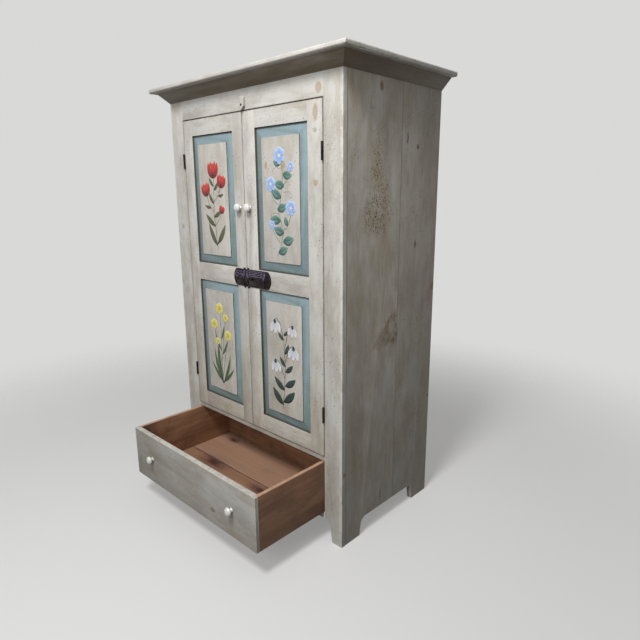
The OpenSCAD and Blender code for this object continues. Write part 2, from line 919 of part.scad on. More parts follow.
module latch_roof(x0, x1) {
    side = latch_h / 2 - latch_flange;
    intersection() {
        translate([x0, 0, 0]) rotate([90, 0, 90]) linear_extrude(x1 - x0) polygon([
            [0, -side], [-latch_base_t, -side], [-latch_t, -latch_flat / 2],
            [-latch_t, latch_flat / 2], [-latch_base_t, side], [0, side]
        ]);
        translate([0, 0, -latch_h / 2]) linear_extrude(latch_h) polygon([
            [x0, 0], [x0, -latch_t], [x1 - latch_hip, -latch_t], [x1, -latch_base_t], [x1, 0]
        ]);
    }
}

module bolt_channel(x0, x1, clear) {
    slab(x0, x1, -bolt_t - 2 * bolt_clear, cut, -bolt_h / 2 - clear, bolt_h / 2 + clear);
}

module latch_case() {
    slot_end = grip_stem_r + bolt_clear;
    color(iron) placed() difference() {
        translate([0, 0, latch_z]) difference() {
            union() {
                latch_base(case_x0, case_x1, case_sag, case_ear_x);
                latch_roof(case_x0, case_x1 - case_sag + 2);
            }
            bolt_channel(case_x0 - cut, bolt_tip + bolt_l + wood_gap, bolt_clear);
            slab(grip_x - bolt_throw - slot_end, grip_x + slot_end, -latch_t - cut, -latch_t / 2,
                 -slot_end, slot_end);
            slab(grip_x, case_x1 - case_sag - latch_hip, -latch_t - cut, -latch_t + 1.5, -2.2, 2.2);
        }
        latch_screw_holes(case_screws);
    }
}

module latch_keeper() {
    color(iron) placed() difference() {
        translate([0, 0, latch_z]) difference() {
            union() {
                translate([keeper_x1, 0, 0]) mirror([1, 0, 0]) {
                    latch_base(0, keeper_l, keeper_sag, ear_in);
                    latch_roof(0, keeper_l - keeper_sag + 1);
                }
                rod_y(boss_x, 0, -latch_t - 1.5, -latch_t / 2, boss_r);
            }
            bolt_channel(keeper_x1 - bolt_throw - 2, keeper_x1 + cut, keeper_clear);
        }
        latch_screw_holes(keeper_screws);
    }
}

module latch_bolt() {
    color(iron) placed() translate([0, 0, latch_z]) {
        slab(bolt_tip, bolt_tip + bolt_l, -bolt_t - bolt_clear, -bolt_clear, -bolt_h / 2, bolt_h / 2);
        rod_y(grip_x, 0, -latch_t - grip_reach + cut, -bolt_t, grip_stem_r);
        rod_y(grip_x, 0, -latch_t - grip_reach, -latch_t - grip_reach / 2, grip_r);
    }
}

// Outline of the turn button about its screw: round above, whittled to a point below
module button_outline() {
    half = button_w / 2;
    intersection() {
        rounded_outline(-half, half, -button_down - button_r, button_up, button_r);
        polygon([
            [-half, button_up], [half, button_up], [half, -button_down / 4],
            [-half / 4, -button_down], [-half / 2, -button_down], [-half, -button_down * 0.7]
        ]);
    }
}

// Turn button, which hangs on its screw with its long arm up
module turn_button() {
    color(cream) placed() difference() {
        translate([button_x, -button_gap, button_z]) rotate([90, 0, 0]) linear_extrude(button_t)
            button_outline();
        rod_y(button_x, button_z, -button_t - 2 * button_gap, cut, button_screw_r + pin_clear);
    }
}

// Drawer
module drawer_bottom_groove(x0, x1, y0, y1) {
    slab(x0, x1, y0, y1, bottom_z0, bottom_z1 + fit);
}

module drawer_front() {
    color(cream) placed() difference() {
        slab(-drawer_half, drawer_half, drawer_y0, drawer_in_y, drawer_z0, drawer_z1);
        for (m = [0, 1]) mirror([m, 0, 0]) {
            slab(drawer_in_half, drawer_half + cut, drawer_side_y0, drawer_in_y + cut,
                 drawer_z0 - cut, drawer_z1 + cut);
            rod_y(drawer_knob_x, drawer_knob_z, drawer_y0 - cut, drawer_in_y + cut,
                  knob_screw_r + screw_clear);
        }
        drawer_bottom_groove(-drawer_in_half - cut, drawer_in_half + cut, drawer_in_y - bottom_in,
                             drawer_in_y + cut);
    }
}

module drawer_side() {
    difference() {
        slab(drawer_in_half, drawer_half, drawer_side_y0, drawer_y1, drawer_z0, drawer_z1);
        drawer_bottom_groove(drawer_in_half - cut, drawer_in_half + bottom_in, drawer_side_y0 - cut,
                             drawer_y1 + cut);
        slab(drawer_in_half - cut, drawer_in_half + drawer_back_in, drawer_back_y, drawer_y1 + cut,
             bottom_z0, drawer_back_z1);
    }
}

module drawer_right_side() {
    color(bare_pine) placed() drawer_side();
}

module drawer_left_side() {
    color(bare_pine) placed_mirror() drawer_side();
}

module drawer_back() {
    reach = drawer_in_half + drawer_back_in;
    color(bare_pine) placed()
        slab(-reach, reach, drawer_back_y, drawer_y1, bottom_z1, drawer_back_z1);
}

module drawer_bottom(y0, y1) {
    reach = drawer_in_half + bottom_in - slide_gap;
    color(bare_pine) placed() slab(-reach, reach, y0, y1, bottom_z0, bottom_z1);
}

module drawer_bottom_front_board() {
    drawer_bottom(drawer_in_y - bottom_in + slide_gap, bottom_seam_y);
}

module drawer_bottom_back_board() {
    drawer_bottom(bottom_seam_y, drawer_y1);
}

module drawer_right_knob() {
    color(porcelain) placed() translate([drawer_knob_x, drawer_y0, drawer_knob_z]) knob();
}

module drawer_left_knob() {
    color(porcelain) placed_mirror() translate([drawer_knob_x, drawer_y0, drawer_knob_z]) knob();
}

module drawer_knob_screws() {
    color(iron) placed() for (m = [0, 1]) mirror([m, 0, 0])
        translate([drawer_knob_x, drawer_y0, drawer_knob_z]) knob_screw(drawer_front_t);
}

left_side_front_board();
left_side_back_board();
right_side_front_board();
right_side_back_board();
left_stile();
right_stile();
frieze_rail();
drawer_rail();
apron_rail();
top_board();
front_cornice();
left_cornice();
right_cornice();
cupboard_floor();
lower_shelf();
middle_shelf();
upper_shelf();
shelf_cleats();
back_left_board();
back_middle_board();
back_right_board();
left_drawer_runner();
right_drawer_runner();
drawer_stops();
frame_hinge_leaves();
hinge_pins();
frame_screws();
drawer_front();
drawer_left_side();
drawer_right_side();
drawer_back();
drawer_bottom_front_board();
drawer_bottom_back_board();
drawer_left_knob();
drawer_right_knob();
drawer_knob_screws();
left_door_hinge_stile();
left_door_meeting_stile();
left_door_top_rail();
left_door_middle_rail();
left_door_bottom_rail();
left_door_upper_panel();
left_door_lower_panel();
left_door_knob();
left_door_hinge_leaves();
left_door_screws();
latch_keeper();
right_door_hinge_stile();
right_door_meeting_stile();
right_door_top_rail();
right_door_middle_rail();
right_door_bottom_rail();
right_door_upper_panel();
right_door_lower_panel();
right_door_knob();
right_door_hinge_leaves();
right_door_screws();
latch_case();
latch_bolt();
turn_button();
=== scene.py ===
import json
import math

import bmesh
import bpy
import numpy as np
from mathutils import Matrix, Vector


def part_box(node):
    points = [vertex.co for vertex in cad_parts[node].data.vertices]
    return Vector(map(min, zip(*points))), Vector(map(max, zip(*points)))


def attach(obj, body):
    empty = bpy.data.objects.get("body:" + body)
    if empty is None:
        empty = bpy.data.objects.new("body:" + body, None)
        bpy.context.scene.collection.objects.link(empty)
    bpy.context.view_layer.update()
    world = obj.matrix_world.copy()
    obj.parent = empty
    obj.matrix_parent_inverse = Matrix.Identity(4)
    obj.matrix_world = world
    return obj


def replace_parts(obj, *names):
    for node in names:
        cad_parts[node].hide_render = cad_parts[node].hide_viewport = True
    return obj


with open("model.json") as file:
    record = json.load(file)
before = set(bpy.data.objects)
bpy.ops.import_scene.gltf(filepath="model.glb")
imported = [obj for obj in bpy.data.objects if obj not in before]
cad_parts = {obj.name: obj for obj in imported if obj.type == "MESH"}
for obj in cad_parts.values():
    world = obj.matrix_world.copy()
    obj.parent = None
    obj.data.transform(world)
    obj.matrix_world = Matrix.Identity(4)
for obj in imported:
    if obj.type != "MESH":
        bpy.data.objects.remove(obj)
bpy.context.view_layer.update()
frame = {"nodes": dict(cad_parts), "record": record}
cadNodes = frame["nodes"]
bodyOf = {n: body for body, group in frame["record"]["behaviour"]["bodies"].items() for n in group}
slotOf = {entry["node"]: entry["material_slot"] for entry in frame["record"]["subparts"]}
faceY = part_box("left_stile")[0].y
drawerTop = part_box("drawer_left_side")[1].z
latchZ = (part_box("latch_case")[0].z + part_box("latch_case")[1].z) / 2
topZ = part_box("top_board")[1].z
print("frame loaded, face at y", round(faceY, 4))

# Colours of the real stuff, as sRGB
limewash = {
    "light": "#d9d7d1",     # thick parts of the wash
    "dark": "#c0bbb2",      # thin parts, where the pine warms it
    "film": "#aa9f88",      # green-grey film of age
    "streak": "#9d855b",    # ochre streaks along the grain
    "grey": "#8d8474",      # old dirt in the grain
    "knot": "#a07d45",      # resin that bleeds through over a knot
    "knotCore": "#5b4126",
    "stain": "#7d6238",     # brown patch of stained grain on the right side
    "hole": "#33261a",      # crowded worm holes
    "speck": "#3d3126",     # single worm holes and dents
    "worn": "#e6e2d8",      # edges worn smooth and light, and a painted highlight on edges and the drawer's top edge
    "grimeAndShade": "#5f523e",     # brown film where nobody wipes, also painted shade on the cornices, undersides, drawer and sides
    "gapShade": "#3f382e",       # painted shade in the gaps and corners, on the walls of frames and fields and on the cornice's edges
    "dull": "#7f7b75",      # greyer paint of the drawer, partly painted shade
}
panelPaint = {
    **limewash, "light": "#d2cec7", "dark": "#beb7ac", "knot": "#b08b57",       # the raised field
    "blue": "#84979d", "green": "#7d918d", "pale": "#b4c0c4", "deep": "#6c7d7d",    # its border
    "upper": "#a6bccb", "lower": "#6f7f82",     # painted light and shade: its upper slopes lighter and bluer, its lower slopes darker
}
barePine = {"light": "#b88b69", "dark": "#9a6d4f", "line": "#6a4432", "knot": "#482825", "grimeAndShade": "#51392c",
            "edge": "#c29c80", "dusty": "#b0917c", "stain": "#5c3c3a"}
oldPine = {"light": "#b3946b", "dark": "#94734c", "line": "#715334", "knot": "#4e3420", "grimeAndShade": "#57432e"}
latchIron = {"base": "#0b0708", "thin": "#321f1c", "sheenAndWear": "#2a2531"}
mouldingIron = {"base": "#100b0c", "thin": "#3f2b28", "sheenAndWear": "#776e86"}
hingeIron = {"base": "#1d1816", "thin": "#3a2f29"}
glaze = {"base": "#f1f0ec", "cloud": "#dbd8d0"}

def shade(hexColour):
    # sRGB to linear: c / 12.92 up to 0.04045, else ((c + 0.055) / 1.055) ^ 2.4
    parts = [int(hexColour[i:i + 2], 16) / 255 for i in (1, 3, 5)]
    return tuple(c / 12.92 if c <= 0.04045 else ((c + 0.055) / 1.055) ** 2.4 for c in parts) + (1.0,)

def at(x, y, z):
    # Millimetres from the middle of the face at the floor, to metres of the frame
    return (x / 1000, y / 1000 + faceY, z / 1000)

# Short names of the node kinds: type, wanted output or outputs, the sockets that the values go to, usual settings
nodeKinds = {
    "place": ("TexCoord", 3, (), {}),
    "facing": ("TexCoord", 1, (), {}),
    "attribute": ("Attribute", 2, (), {}),
    "geometry": ("NewGeometry", 1, (), {}),
    "axes": ("SeparateXYZ", (0, 1, 2), (), {}),
    "noise": ("TexNoise", 0, ("Vector", "Scale", "Detail", "Roughness", "Distortion"), {}),
    "cells": ("TexVoronoi", (0, 1), ("Vector", "Scale"), {"feature": "F1"}),
    "fade": ("MapRange", 0, (), {"interpolation_type": "SMOOTHSTEP"}),
    "mix": ("Mix", 2, (0, 6, 7), {"data_type": "RGBA"}),
    "choice": ("Mix", 0, (0, 2, 3), {"data_type": "FLOAT"}),
    "bevel": ("Bevel", 0, (), {"samples": 4}),
    "bump": ("Bump", 0, ("Height", "Strength", "Distance"), {}),
    "rays": ("LightPath", ("Is Camera Ray", "Is Glossy Ray", "Is Transmission Ray"), (), {}),
    "surface": ("BsdfPrincipled", 0, ("Base Color", "Roughness"), {}),
    "output": ("OutputMaterial", (), (), {}),
    "sky": ("Background", 0, (), {}),
    "mixShader": ("MixShader", 0, (), {}),
    "worldOut": ("OutputWorld", (), (), {}),
}
for kind, operation in {"times": "MULTIPLY", "plus": "ADD", "minus": "SUBTRACT", "timesPlus": "MULTIPLY_ADD",
                        "size": "ABSOLUTE", "over": "GREATER_THAN", "under": "LESS_THAN", "near": "COMPARE",
                        "larger": "MAXIMUM", "smaller": "MINIMUM"}.items():
    nodeKinds[kind] = ("Math", 0, (), {"operation": operation})
for kind, operation, wanted, sockets in (("shift", "ADD", 0, ()), ("unshift", "SUBTRACT", 0, ()),
                                         ("stretch", "MULTIPLY", 0, ()), ("scaled", "SCALE", 0, (0, 3)),
                                         ("length", "LENGTH", 1, ()), ("dot", "DOT_PRODUCT", 1, ())):
    nodeKinds[kind] = ("VectorMath", wanted, sockets, {"operation": operation})

def add(tree, kind, *values, out=None, named=None, **settings):
    # Adds one node and returns what is wanted of it; each input is a plain value or another node's output
    nodeType, usual, sockets, fixed = nodeKinds[kind]
    made = tree.nodes.new("ShaderNode" + nodeType)
    for key, value in {**fixed, **settings}.items():
        setattr(made, key, value)
    for key, value in [*zip(sockets or range(len(values)), values), *(named or {}).items()]:
        if isinstance(value, bpy.types.NodeSocket):
            tree.links.new(value, made.inputs[key])
        else:
            made.inputs[key].default_value = value
    wanted = usual if out is None else out
    return [made.outputs[i] for i in wanted] if isinstance(wanted, tuple) else made.outputs[wanted]

def around(limit, soft=0.0002):
    # Ends of a narrow soft edge: a fade between them is 1 past the limit
    return limit - soft, limit + soft

def fold(tree, kind, masks):
    # All the masks taken together, the first two first, by one kind of node
    whole = masks[0]
    for mask in masks[1:]:
        whole = add(tree, kind, whole, mask)
    return whole

def product(tree, *masks):
    # All the masks times each other; a mask may be a plain number
    return fold(tree, "times", masks)

def coats(tree, look, colour, *layers):
    # Lays each paint, a name in the look or an output, over what is below it where all its masks are 1
    for paint, *masks in layers:
        below, paint = (shade(look[c]) if isinstance(c, str) else c for c in (colour, paint))
        colour = add(tree, "mix", product(tree, *masks), below, paint)
    return colour

def newMaterial(name):
    # An empty material and its tree
    material = bpy.data.materials.new(name)
    material.use_nodes = True
    material.node_tree.nodes.clear()
    return material, material.node_tree

def finished(material, colour, roughness, relief=None, **extra):
    # Adds the surface; the relief is a height, its strength and its depth in metres
    tree = material.node_tree
    if relief:
        extra["Normal"] = add(tree, "bump", *relief)
    add(tree, "output", add(tree, "surface", colour, roughness, named=extra))
    return material

def boardPlace(tree):
    # Object coordinates, and the same shifted by the board's own number so that no two boards share their grain
    place = add(tree, "place")
    board = add(tree, "attribute", attribute_name="board")
    return place, add(tree, "shift", place, add(tree, "scaled", (7.31, 4.17, 9.53), board))

def alongGrain(tree, place, axis, squeeze):
    # Coordinates squeezed along the grain: a pattern then draws out into streaks
    return add(tree, "stretch", place, tuple(squeeze if letter == axis else 1.0 for letter in "XYZ"))

def blotches(tree, place, across, low, high, detail=4.0, rough=0.6, least=0.0, most=1.0, twist=0.0):
    # Noise with blotches so many millimetres across, as a mask that rises from low to high
    noise = add(tree, "noise", place, 1000 / across, detail, rough, twist)
    return add(tree, "fade", noise, low, high, least, most)

def grained(tree, place, axis, squeeze, *numbers, **more):
    # Blotches drawn out along the grain
    return blotches(tree, alongGrain(tree, place, axis, squeeze), *numbers, **more)

def apart(tree, value, spot):
    # |value - spot|
    return add(tree, "size", add(tree, "minus", value, spot))

def nearestSpot(tree, place, spots):
    # Least |(P - centre) / radii| over the spots, on wavering coordinates: under 1 inside one of them
    waver = add(tree, "unshift", add(tree, "noise", place, 90.0, 2.0, out=1), (0.5, 0.5, 0.5))
    moved = add(tree, "shift", place, add(tree, "scaled", waver, 0.008))
    away = []
    for centre, radii in spots:
        offset = add(tree, "unshift", moved, at(*centre))
        away.append(add(tree, "length", add(tree, "stretch", offset, tuple(1000 / r for r in radii))))
    return fold(tree, "smaller", away)

def spotted(tree, place, spots, start, end, most=1.0):
    # A mask round the spots, by the nearest one's distance in its own radii
    return add(tree, "fade", nearestSpot(tree, place, spots), start, end, 0.0, most)

def wormDots(tree, moved):
    # 1 on small dents and old worm holes: in the middle of one in five of cells 10.5 mm apart, here thick, there thin
    away, chance = add(tree, "cells", moved, 1000 / 10.5)
    kept = add(tree, "under", add(tree, "axes", chance)[0], 0.2)
    where = blotches(tree, moved, 200, 0.4, 0.65, 2.0, least=0.15)
    return product(tree, add(tree, "fade", away, 0.26, 0.13), kept, where, 0.85)

def between(low, high):
    # The middle of the gap between two boards, by the corners that face each other
    return (low + high) / 2

def pineColour(tree, place, moved, axis, look, knots=()):
    # Raw pine: broad soft bands, fine darker lines along the grain, dirt. In the drawer also dust, the seam of its
    # bottom, and a few knots with stained halos
    streaks = alongGrain(tree, moved, axis, 0.045)
    lines = blotches(tree, streaks, 7, 0.5, 0.78, 4.0, 0.65)
    layers = [("dark", blotches(tree, streaks, 42, 0.34, 0.7, 3.0, 0.5, twist=0.5)),
              ("line", lines, 0.42),
              ("grimeAndShade", blotches(tree, moved, 130, 0.48, 0.8, 5.0, 0.62), 0.55)]
    if knots:
        pale = add(tree, "attribute", attribute_name="pale")
        seam = between(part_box("drawer_bottom_front_board")[1].y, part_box("drawer_bottom_back_board")[0].y)
        away = apart(tree, add(tree, "axes", place)[1], seam)
        joint = add(tree, "over", product(tree, pale, add(tree, "fade", away, 0.004, 0.001)), 0.05)
        near = nearestSpot(tree, place, knots)
        layers += [("dusty", pale, grained(tree, moved, axis, 0.1, 60, 0.3, 0.6, least=0.6)),
                   ("knot", joint, blotches(tree, moved, 60, 0.3, 0.6, least=0.35, most=0.9)),
                   ("stain", add(tree, "fade", near, 3.2, 0.9, 0.0, 0.8), blotches(tree, streaks, 16, 0.25, 0.6)),
                   ("knot", add(tree, "fade", near, 1.3, 0.35, 0.0, 0.85))]
    return coats(tree, look, "light", *layers), lines

def rawPine(name, axis, look, knots=()):
    # Unpainted pine: dry, brown with age, darker lines along its grain; on the drawer its outer faces darker, dirt
    # and painted shade, and its top edges pale, worn and a painted highlight
    material, tree = newMaterial(name)
    place, moved = boardPlace(tree)
    colour, lines = pineColour(tree, place, moved, axis, look, knots)
    if "edge" in look:
        # Drawer boards: darker by dirt and painted shade, and their top edges pale, worn and a painted highlight
        outer = add(tree, "attribute", attribute_name="dull")
        rim = add(tree, "fade", add(tree, "axes", place)[2], *around(drawerTop - 0.0012))
        soiled = grained(tree, moved, axis, 0.4, 70, 0.35, 0.65, 5.0, 0.65, 0.6, 1.25)
        sheenAndWear = blotches(tree, moved, 33, 0.3, 0.6, least=0.55, most=0.95)
        colour = coats(tree, look, colour, ("grimeAndShade", outer, soiled), ("edge", rim, sheenAndWear))
    return finished(material, colour, 0.62, (lines, 0.2, 0.0005))

# What shows on particular boards: centre and radii in millimetres
faceKnots = [
    ((412, 0, 1746), (13, 30, 15)), ((396, 0, 1668), (11, 30, 25)), ((394, 0, 1609), (7, 30, 7)),
    ((395, 0, 1430), (10, 30, 10)), ((-483, 0, 1246), (7, 30, 9)), ((-437, 0, 1396), (5, 30, 6)),
]
darkKnots = [
    ((163, -358, 184), (15, 30, 8)),
    ((525, 208, 1762), (30, 9, 16)), ((525, 449, 1569), (30, 10, 9)), ((525, 600, 997), (30, 13, 17)),
    ((525, 600, 484), (30, 8, 8)), ((525, 12, 318), (30, 8, 10)),
]
sideCracks = [((525, 378, 1598), (30, 6, 24)), ((525, 452, 1188), (30, 7, 18)), ((525, 250, 136), (30, 5, 30))]
stainCorners = ((150, 790), (288, 928), (345, 934), (343, 776))   # y and z of the brown patch on the right side
stainHollow = [((525, 300, 864), (60, 20, 30))]
stainHeart = [((525, 337, 828), (60, 10, 20)), ((525, 318, 806), (60, 14, 12))]
wormPatch = [
    ((525, 200, 1320), (60, 105, 90)), ((525, 200, 1440), (60, 85, 100)), ((525, 200, 1570), (60, 60, 80)),
    ((525, 150, 1710), (60, 30, 60)), ((525, 70, 1530), (60, 25, 30)),
]
wormHeart = [((525, 190, 1302), (60, 84, 66)), ((525, 215, 1372), (60, 56, 84)), ((525, 196, 1452), (60, 34, 110))]
fieldKnots = [((228, 0, 1498), (13, 30, 15)), ((128, 0, 1500), (8, 30, 16))]
drawerKnots = [
    ((-208, -92, 148), (44, 20, 30)), ((-321, 113, 148), (18, 9, 30)), ((155, -102, 148), (36, 15, 30)),
    ((-415, -315, 300), (30, 26, 40)), ((262, -150, 148), (60, 12, 30)),
]
# Middles of the gaps round the doors in metres, and how dark the painted shade beside each of the gaps is
doorGaps = {
    "x": [between(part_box("left_stile")[1].x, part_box("left_door_hinge_stile")[0].x),
          between(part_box("left_door_meeting_stile")[1].x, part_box("right_door_meeting_stile")[0].x),
          between(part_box("right_door_hinge_stile")[1].x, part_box("right_stile")[0].x)],
    "z": [between(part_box("drawer_rail")[1].z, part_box("left_door_bottom_rail")[0].z),
          between(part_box("left_door_top_rail")[1].z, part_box("frieze_rail")[0].z)],
    "dark": {"x": [0.6, 0.5, 0.9], "z": [0.9, 1.0]},
}
sideSeams = [between(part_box(before)[1].y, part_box(behind)[0].y) for before, behind in
             (("right_side_front_board", "right_side_back_board"), ("right_stile", "right_side_front_board"))]

# Metres from the middle, or behind the face: what the cupboard hides, where the paint of the top ends, the outer
# face of a side, the inner edges of the frames, a panel's corners, raised field, border's foot and back
hidden = {"x": 0.5035, "front": 0.0213, "back": 0.6072}
topMargin = {"x": 0.49, "front": 0.06, "soft": 0.016, "waver": 0.02}
sideX = 0.525
frameWall = (0.0012, 0.0216)
panelDepths = {"wall": (-0.0011, 0.0026), "field": 0.0002, "foot": 0.0071, "back": 0.0158}

def insideMask(tree, place):
    # 1 on what the cupboard hides, and on the top inside its unevenly painted margin
    x, y, z = add(tree, "axes", place)
    x = add(tree, "size", x)
    inner = product(tree, add(tree, "under", x, hidden["x"]),
                    add(tree, "over", y, faceY + hidden["front"]),
                    add(tree, "under", y, faceY + hidden["back"]))
    waver, soft = topMargin["waver"], topMargin["soft"]
    uneven = blotches(tree, place, 90, 0.25, 0.75, 4.0, 0.65, least=-waver, most=waver)
    brushed = [add(tree, "fade", add(tree, "plus", value, uneven), limit, limit + inward)
               for value, limit, inward in ((x, topMargin["x"], -soft), (y, faceY + topMargin["front"], soft))]
    onTop = add(tree, "over", z, topZ - 0.003)
    return add(tree, "choice", onTop, inner, product(tree, *brushed))

def wallMask(tree, place, first, last):
    # 1 where the surface doesn't face the front and lies between two depths behind the face, in metres
    y = add(tree, "axes", place)[1]
    facing = add(tree, "size", add(tree, "axes", add(tree, "facing"))[1])
    return product(tree, add(tree, "fade", facing, 0.75, 0.45), add(tree, "fade", y, *around(faceY + first)),
                   add(tree, "fade", y, faceY + last, faceY + last - 0.0004))

def gapShadeLines(tree, place, moved):
    # 1 along the gaps round the doors: painted shade on the face beside the gaps
    x, y, z = add(tree, "axes", place)
    (left, _, right), (low, high) = doorGaps["x"], doorGaps["z"]
    lines = []
    for across, along, key, centre, reach in ((x, z, "x", (high + low) / 2, (high - low) / 2),
                                              (z, x, "z", 0.0, (right - left) / 2)):
        inside = add(tree, "near", along, centre, reach + 0.001)
        for spot, dark in zip(doorGaps[key], doorGaps["dark"][key]):
            line = add(tree, "fade", apart(tree, across, spot), 0.0055, 0.001, 0.0, dark)
            lines.append(product(tree, inside, line))
    front = add(tree, "near", y, faceY, 0.003)
    return product(tree, fold(tree, "larger", lines), front, blotches(tree, moved, 30, 0.25, 0.6, least=0.5))

def onSide(tree, place):
    # 1 on the outer faces of the two sides
    x, facing = (add(tree, "size", add(tree, "axes", v)[0]) for v in (place, add(tree, "facing")))
    return product(tree, add(tree, "near", x, sideX, 0.005), add(tree, "over", facing, 0.6))

def seamDirt(tree, place):
    # 1 along the joints of a side: between its two boards, and between its front board and the stile
    y = add(tree, "axes", place)[1]
    lines = [add(tree, "fade", apart(tree, y, seam), 0.004, 0.0008) for seam in sideSeams]
    return product(tree, onSide(tree, place), fold(tree, "larger", lines))

def sideShade(tree, place, moved):
    # 1 towards the back edge and the foot of the sides: painted shade, the paint darker there
    _, y, z = add(tree, "axes", place)
    back = add(tree, "fade", y, faceY + 0.22, faceY + 0.6, 0.0, 0.9)
    low = add(tree, "fade", z, 0.9, 0.05, 0.0, 0.6)
    return product(tree, onSide(tree, place), add(tree, "larger", back, low),
                   grained(tree, moved, "Z", 0.3, 80, 0.25, 0.65, 5.0, least=0.6))

def cornerWear(tree, place, moved):
    # 1 in patches down the upright corners of the carcass, where the paint is knocked off
    x, y, z = add(tree, "axes", place)
    return product(tree, add(tree, "fade", add(tree, "size", x), 0.508, 0.521),
                   add(tree, "fade", y, faceY + 0.014, faceY + 0.003),
                   add(tree, "over", y, faceY - 0.01),
                   add(tree, "under", z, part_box("frieze_rail")[1].z - 0.045),
                   grained(tree, moved, "Z", 0.45, 22, 0.42, 0.6, 5.0, 0.7))

def wornEdges(tree, moved, radius):
    # 1 where the surface turns within radius, broken up by noise
    rounded = add(tree, "bevel", radius)
    alike = add(tree, "dot", rounded, add(tree, "geometry"))
    return product(tree, add(tree, "fade", alike, 0.995, 0.9), blotches(tree, moved, 18, 0.36, 0.6, rough=0.65))

def stainMask(tree, place):
    # 1 inside the four corners of the stain, by the signed distance from each edge, with a pale hollow and streaks
    # along its slanting edge
    x, y, z = add(tree, "axes", place)
    points = [(a / 1000 + faceY, b / 1000) for a, b in stainCorners]
    centre = [sum(p[i] for p in points) / len(points) for i in (0, 1)]
    ragged = add(tree, "noise", alongGrain(tree, place, "Z", 0.6), 75.0, 6.0, 0.8)
    ragged = product(tree, add(tree, "plus", ragged, -0.5), 0.12)
    masks = [add(tree, "over", x, 0.5)]
    for (y0, z0), (y1, z1) in zip(points, points[1:] + points[:1]):
        length = math.hypot(y1 - y0, z1 - z0)
        ny, nz = (z1 - z0) / length, (y0 - y1) / length
        sign = 1 if (centre[0] - y0) * ny + (centre[1] - z0) * nz > 0 else -1
        inner = add(tree, "timesPlus", y, ny * sign, -(y0 * ny + z0 * nz) * sign)
        inner = fold(tree, "plus", (inner, product(tree, z, nz * sign), ragged))
        masks.append(add(tree, "fade", inner, -0.002, 0.022))
    (y0, z0), (y1, z1) = points[:2]
    length = math.hypot(y1 - y0, z1 - z0)
    slant = add(tree, "plus", product(tree, z, (y1 - y0) / length), product(tree, y, -(z1 - z0) / length))
    flame = add(tree, "noise", add(tree, "scaled", (0.0, 60.0, 0.0), slant), 1.8, 3.0, 0.6)
    return product(tree, *masks, add(tree, "fade", nearestSpot(tree, place, stainHollow), 0.6, 1.3, 0.35),
                   add(tree, "fade", y, y0, y1, 0.45),
                   blotches(tree, place, 16, 0.3, 0.62, 4.0, 0.7, least=0.45),
                   add(tree, "fade", flame, 0.3, 0.6, 0.5))

def sideMarks(tree, place):
    # The stain on the right side, then its worm patch: ochre ground, pale rims, crowded holes
    patch, heart = spotted(tree, place, wormPatch, 1.3, 0.5), spotted(tree, place, wormHeart, 1.45, 0.2)
    ground = alongGrain(tree, place, "Z", 0.7)
    crowd = add(tree, "plus", product(tree, heart, 1.1), product(tree, patch, 0.48), use_clamp=True)
    return [
        ("stain", stainMask(tree, place), 0.95),
        ("knotCore", spotted(tree, place, stainHeart, 1.4, 0.5), blotches(tree, place, 9, 0.3, 0.6, least=0.3), 0.7),
        ("streak", heart, blotches(tree, place, 40, 0.3, 0.6, least=0.3), 0.6),
        ("worn", blotches(tree, ground, 7.5, 0.55, 0.62, 3.0, 0.6, twist=0.8), heart, 0.3),
        ("hole", blotches(tree, ground, 5.4, 0.55, 0.61, 2.0, 0.6, twist=0.7),
         blotches(tree, ground, 22, 0.36, 0.54, 3.0), crowd),
    ]

def washColour(tree, moved, axis, look, age):
    # Thin lime-coloured wash: mottled, with ochre and green-grey patches and dirt along the grain; age is 0 to 1
    dirt = grained(tree, moved, axis, 0.07, 10, 0.5, 0.82, 6.0, 0.72)
    scuffs = grained(tree, moved, axis, 0.5, 4.0, 0.6, 0.68, 4.0, 0.75)
    colour = coats(
        tree, look, "light",
        ("dark", grained(tree, moved, axis, 0.4, 70, 0.36, 0.66, 5.0, 0.62)),
        ("film", grained(tree, moved, axis, 0.45, 95, 0.46, 0.72, 5.0, 0.66, twist=0.3), age, 0.62),
        ("streak", grained(tree, moved, axis, 0.14, 34, 0.5, 0.8, 5.0, 0.64, twist=0.4), age, 0.6),
        ("grey", dirt, age, 0.4),
        ("grey", grained(tree, moved, axis, 0.03, 3.2, 0.52, 0.72, 3.0, 0.6), age, 0.34),
        ("worn", grained(tree, moved, axis, 0.6, 5.5, 0.56, 0.66, 4.0, 0.75), 0.5),
        ("grey", scuffs, 0.55))
    return colour, add(tree, "larger", dirt, scuffs)

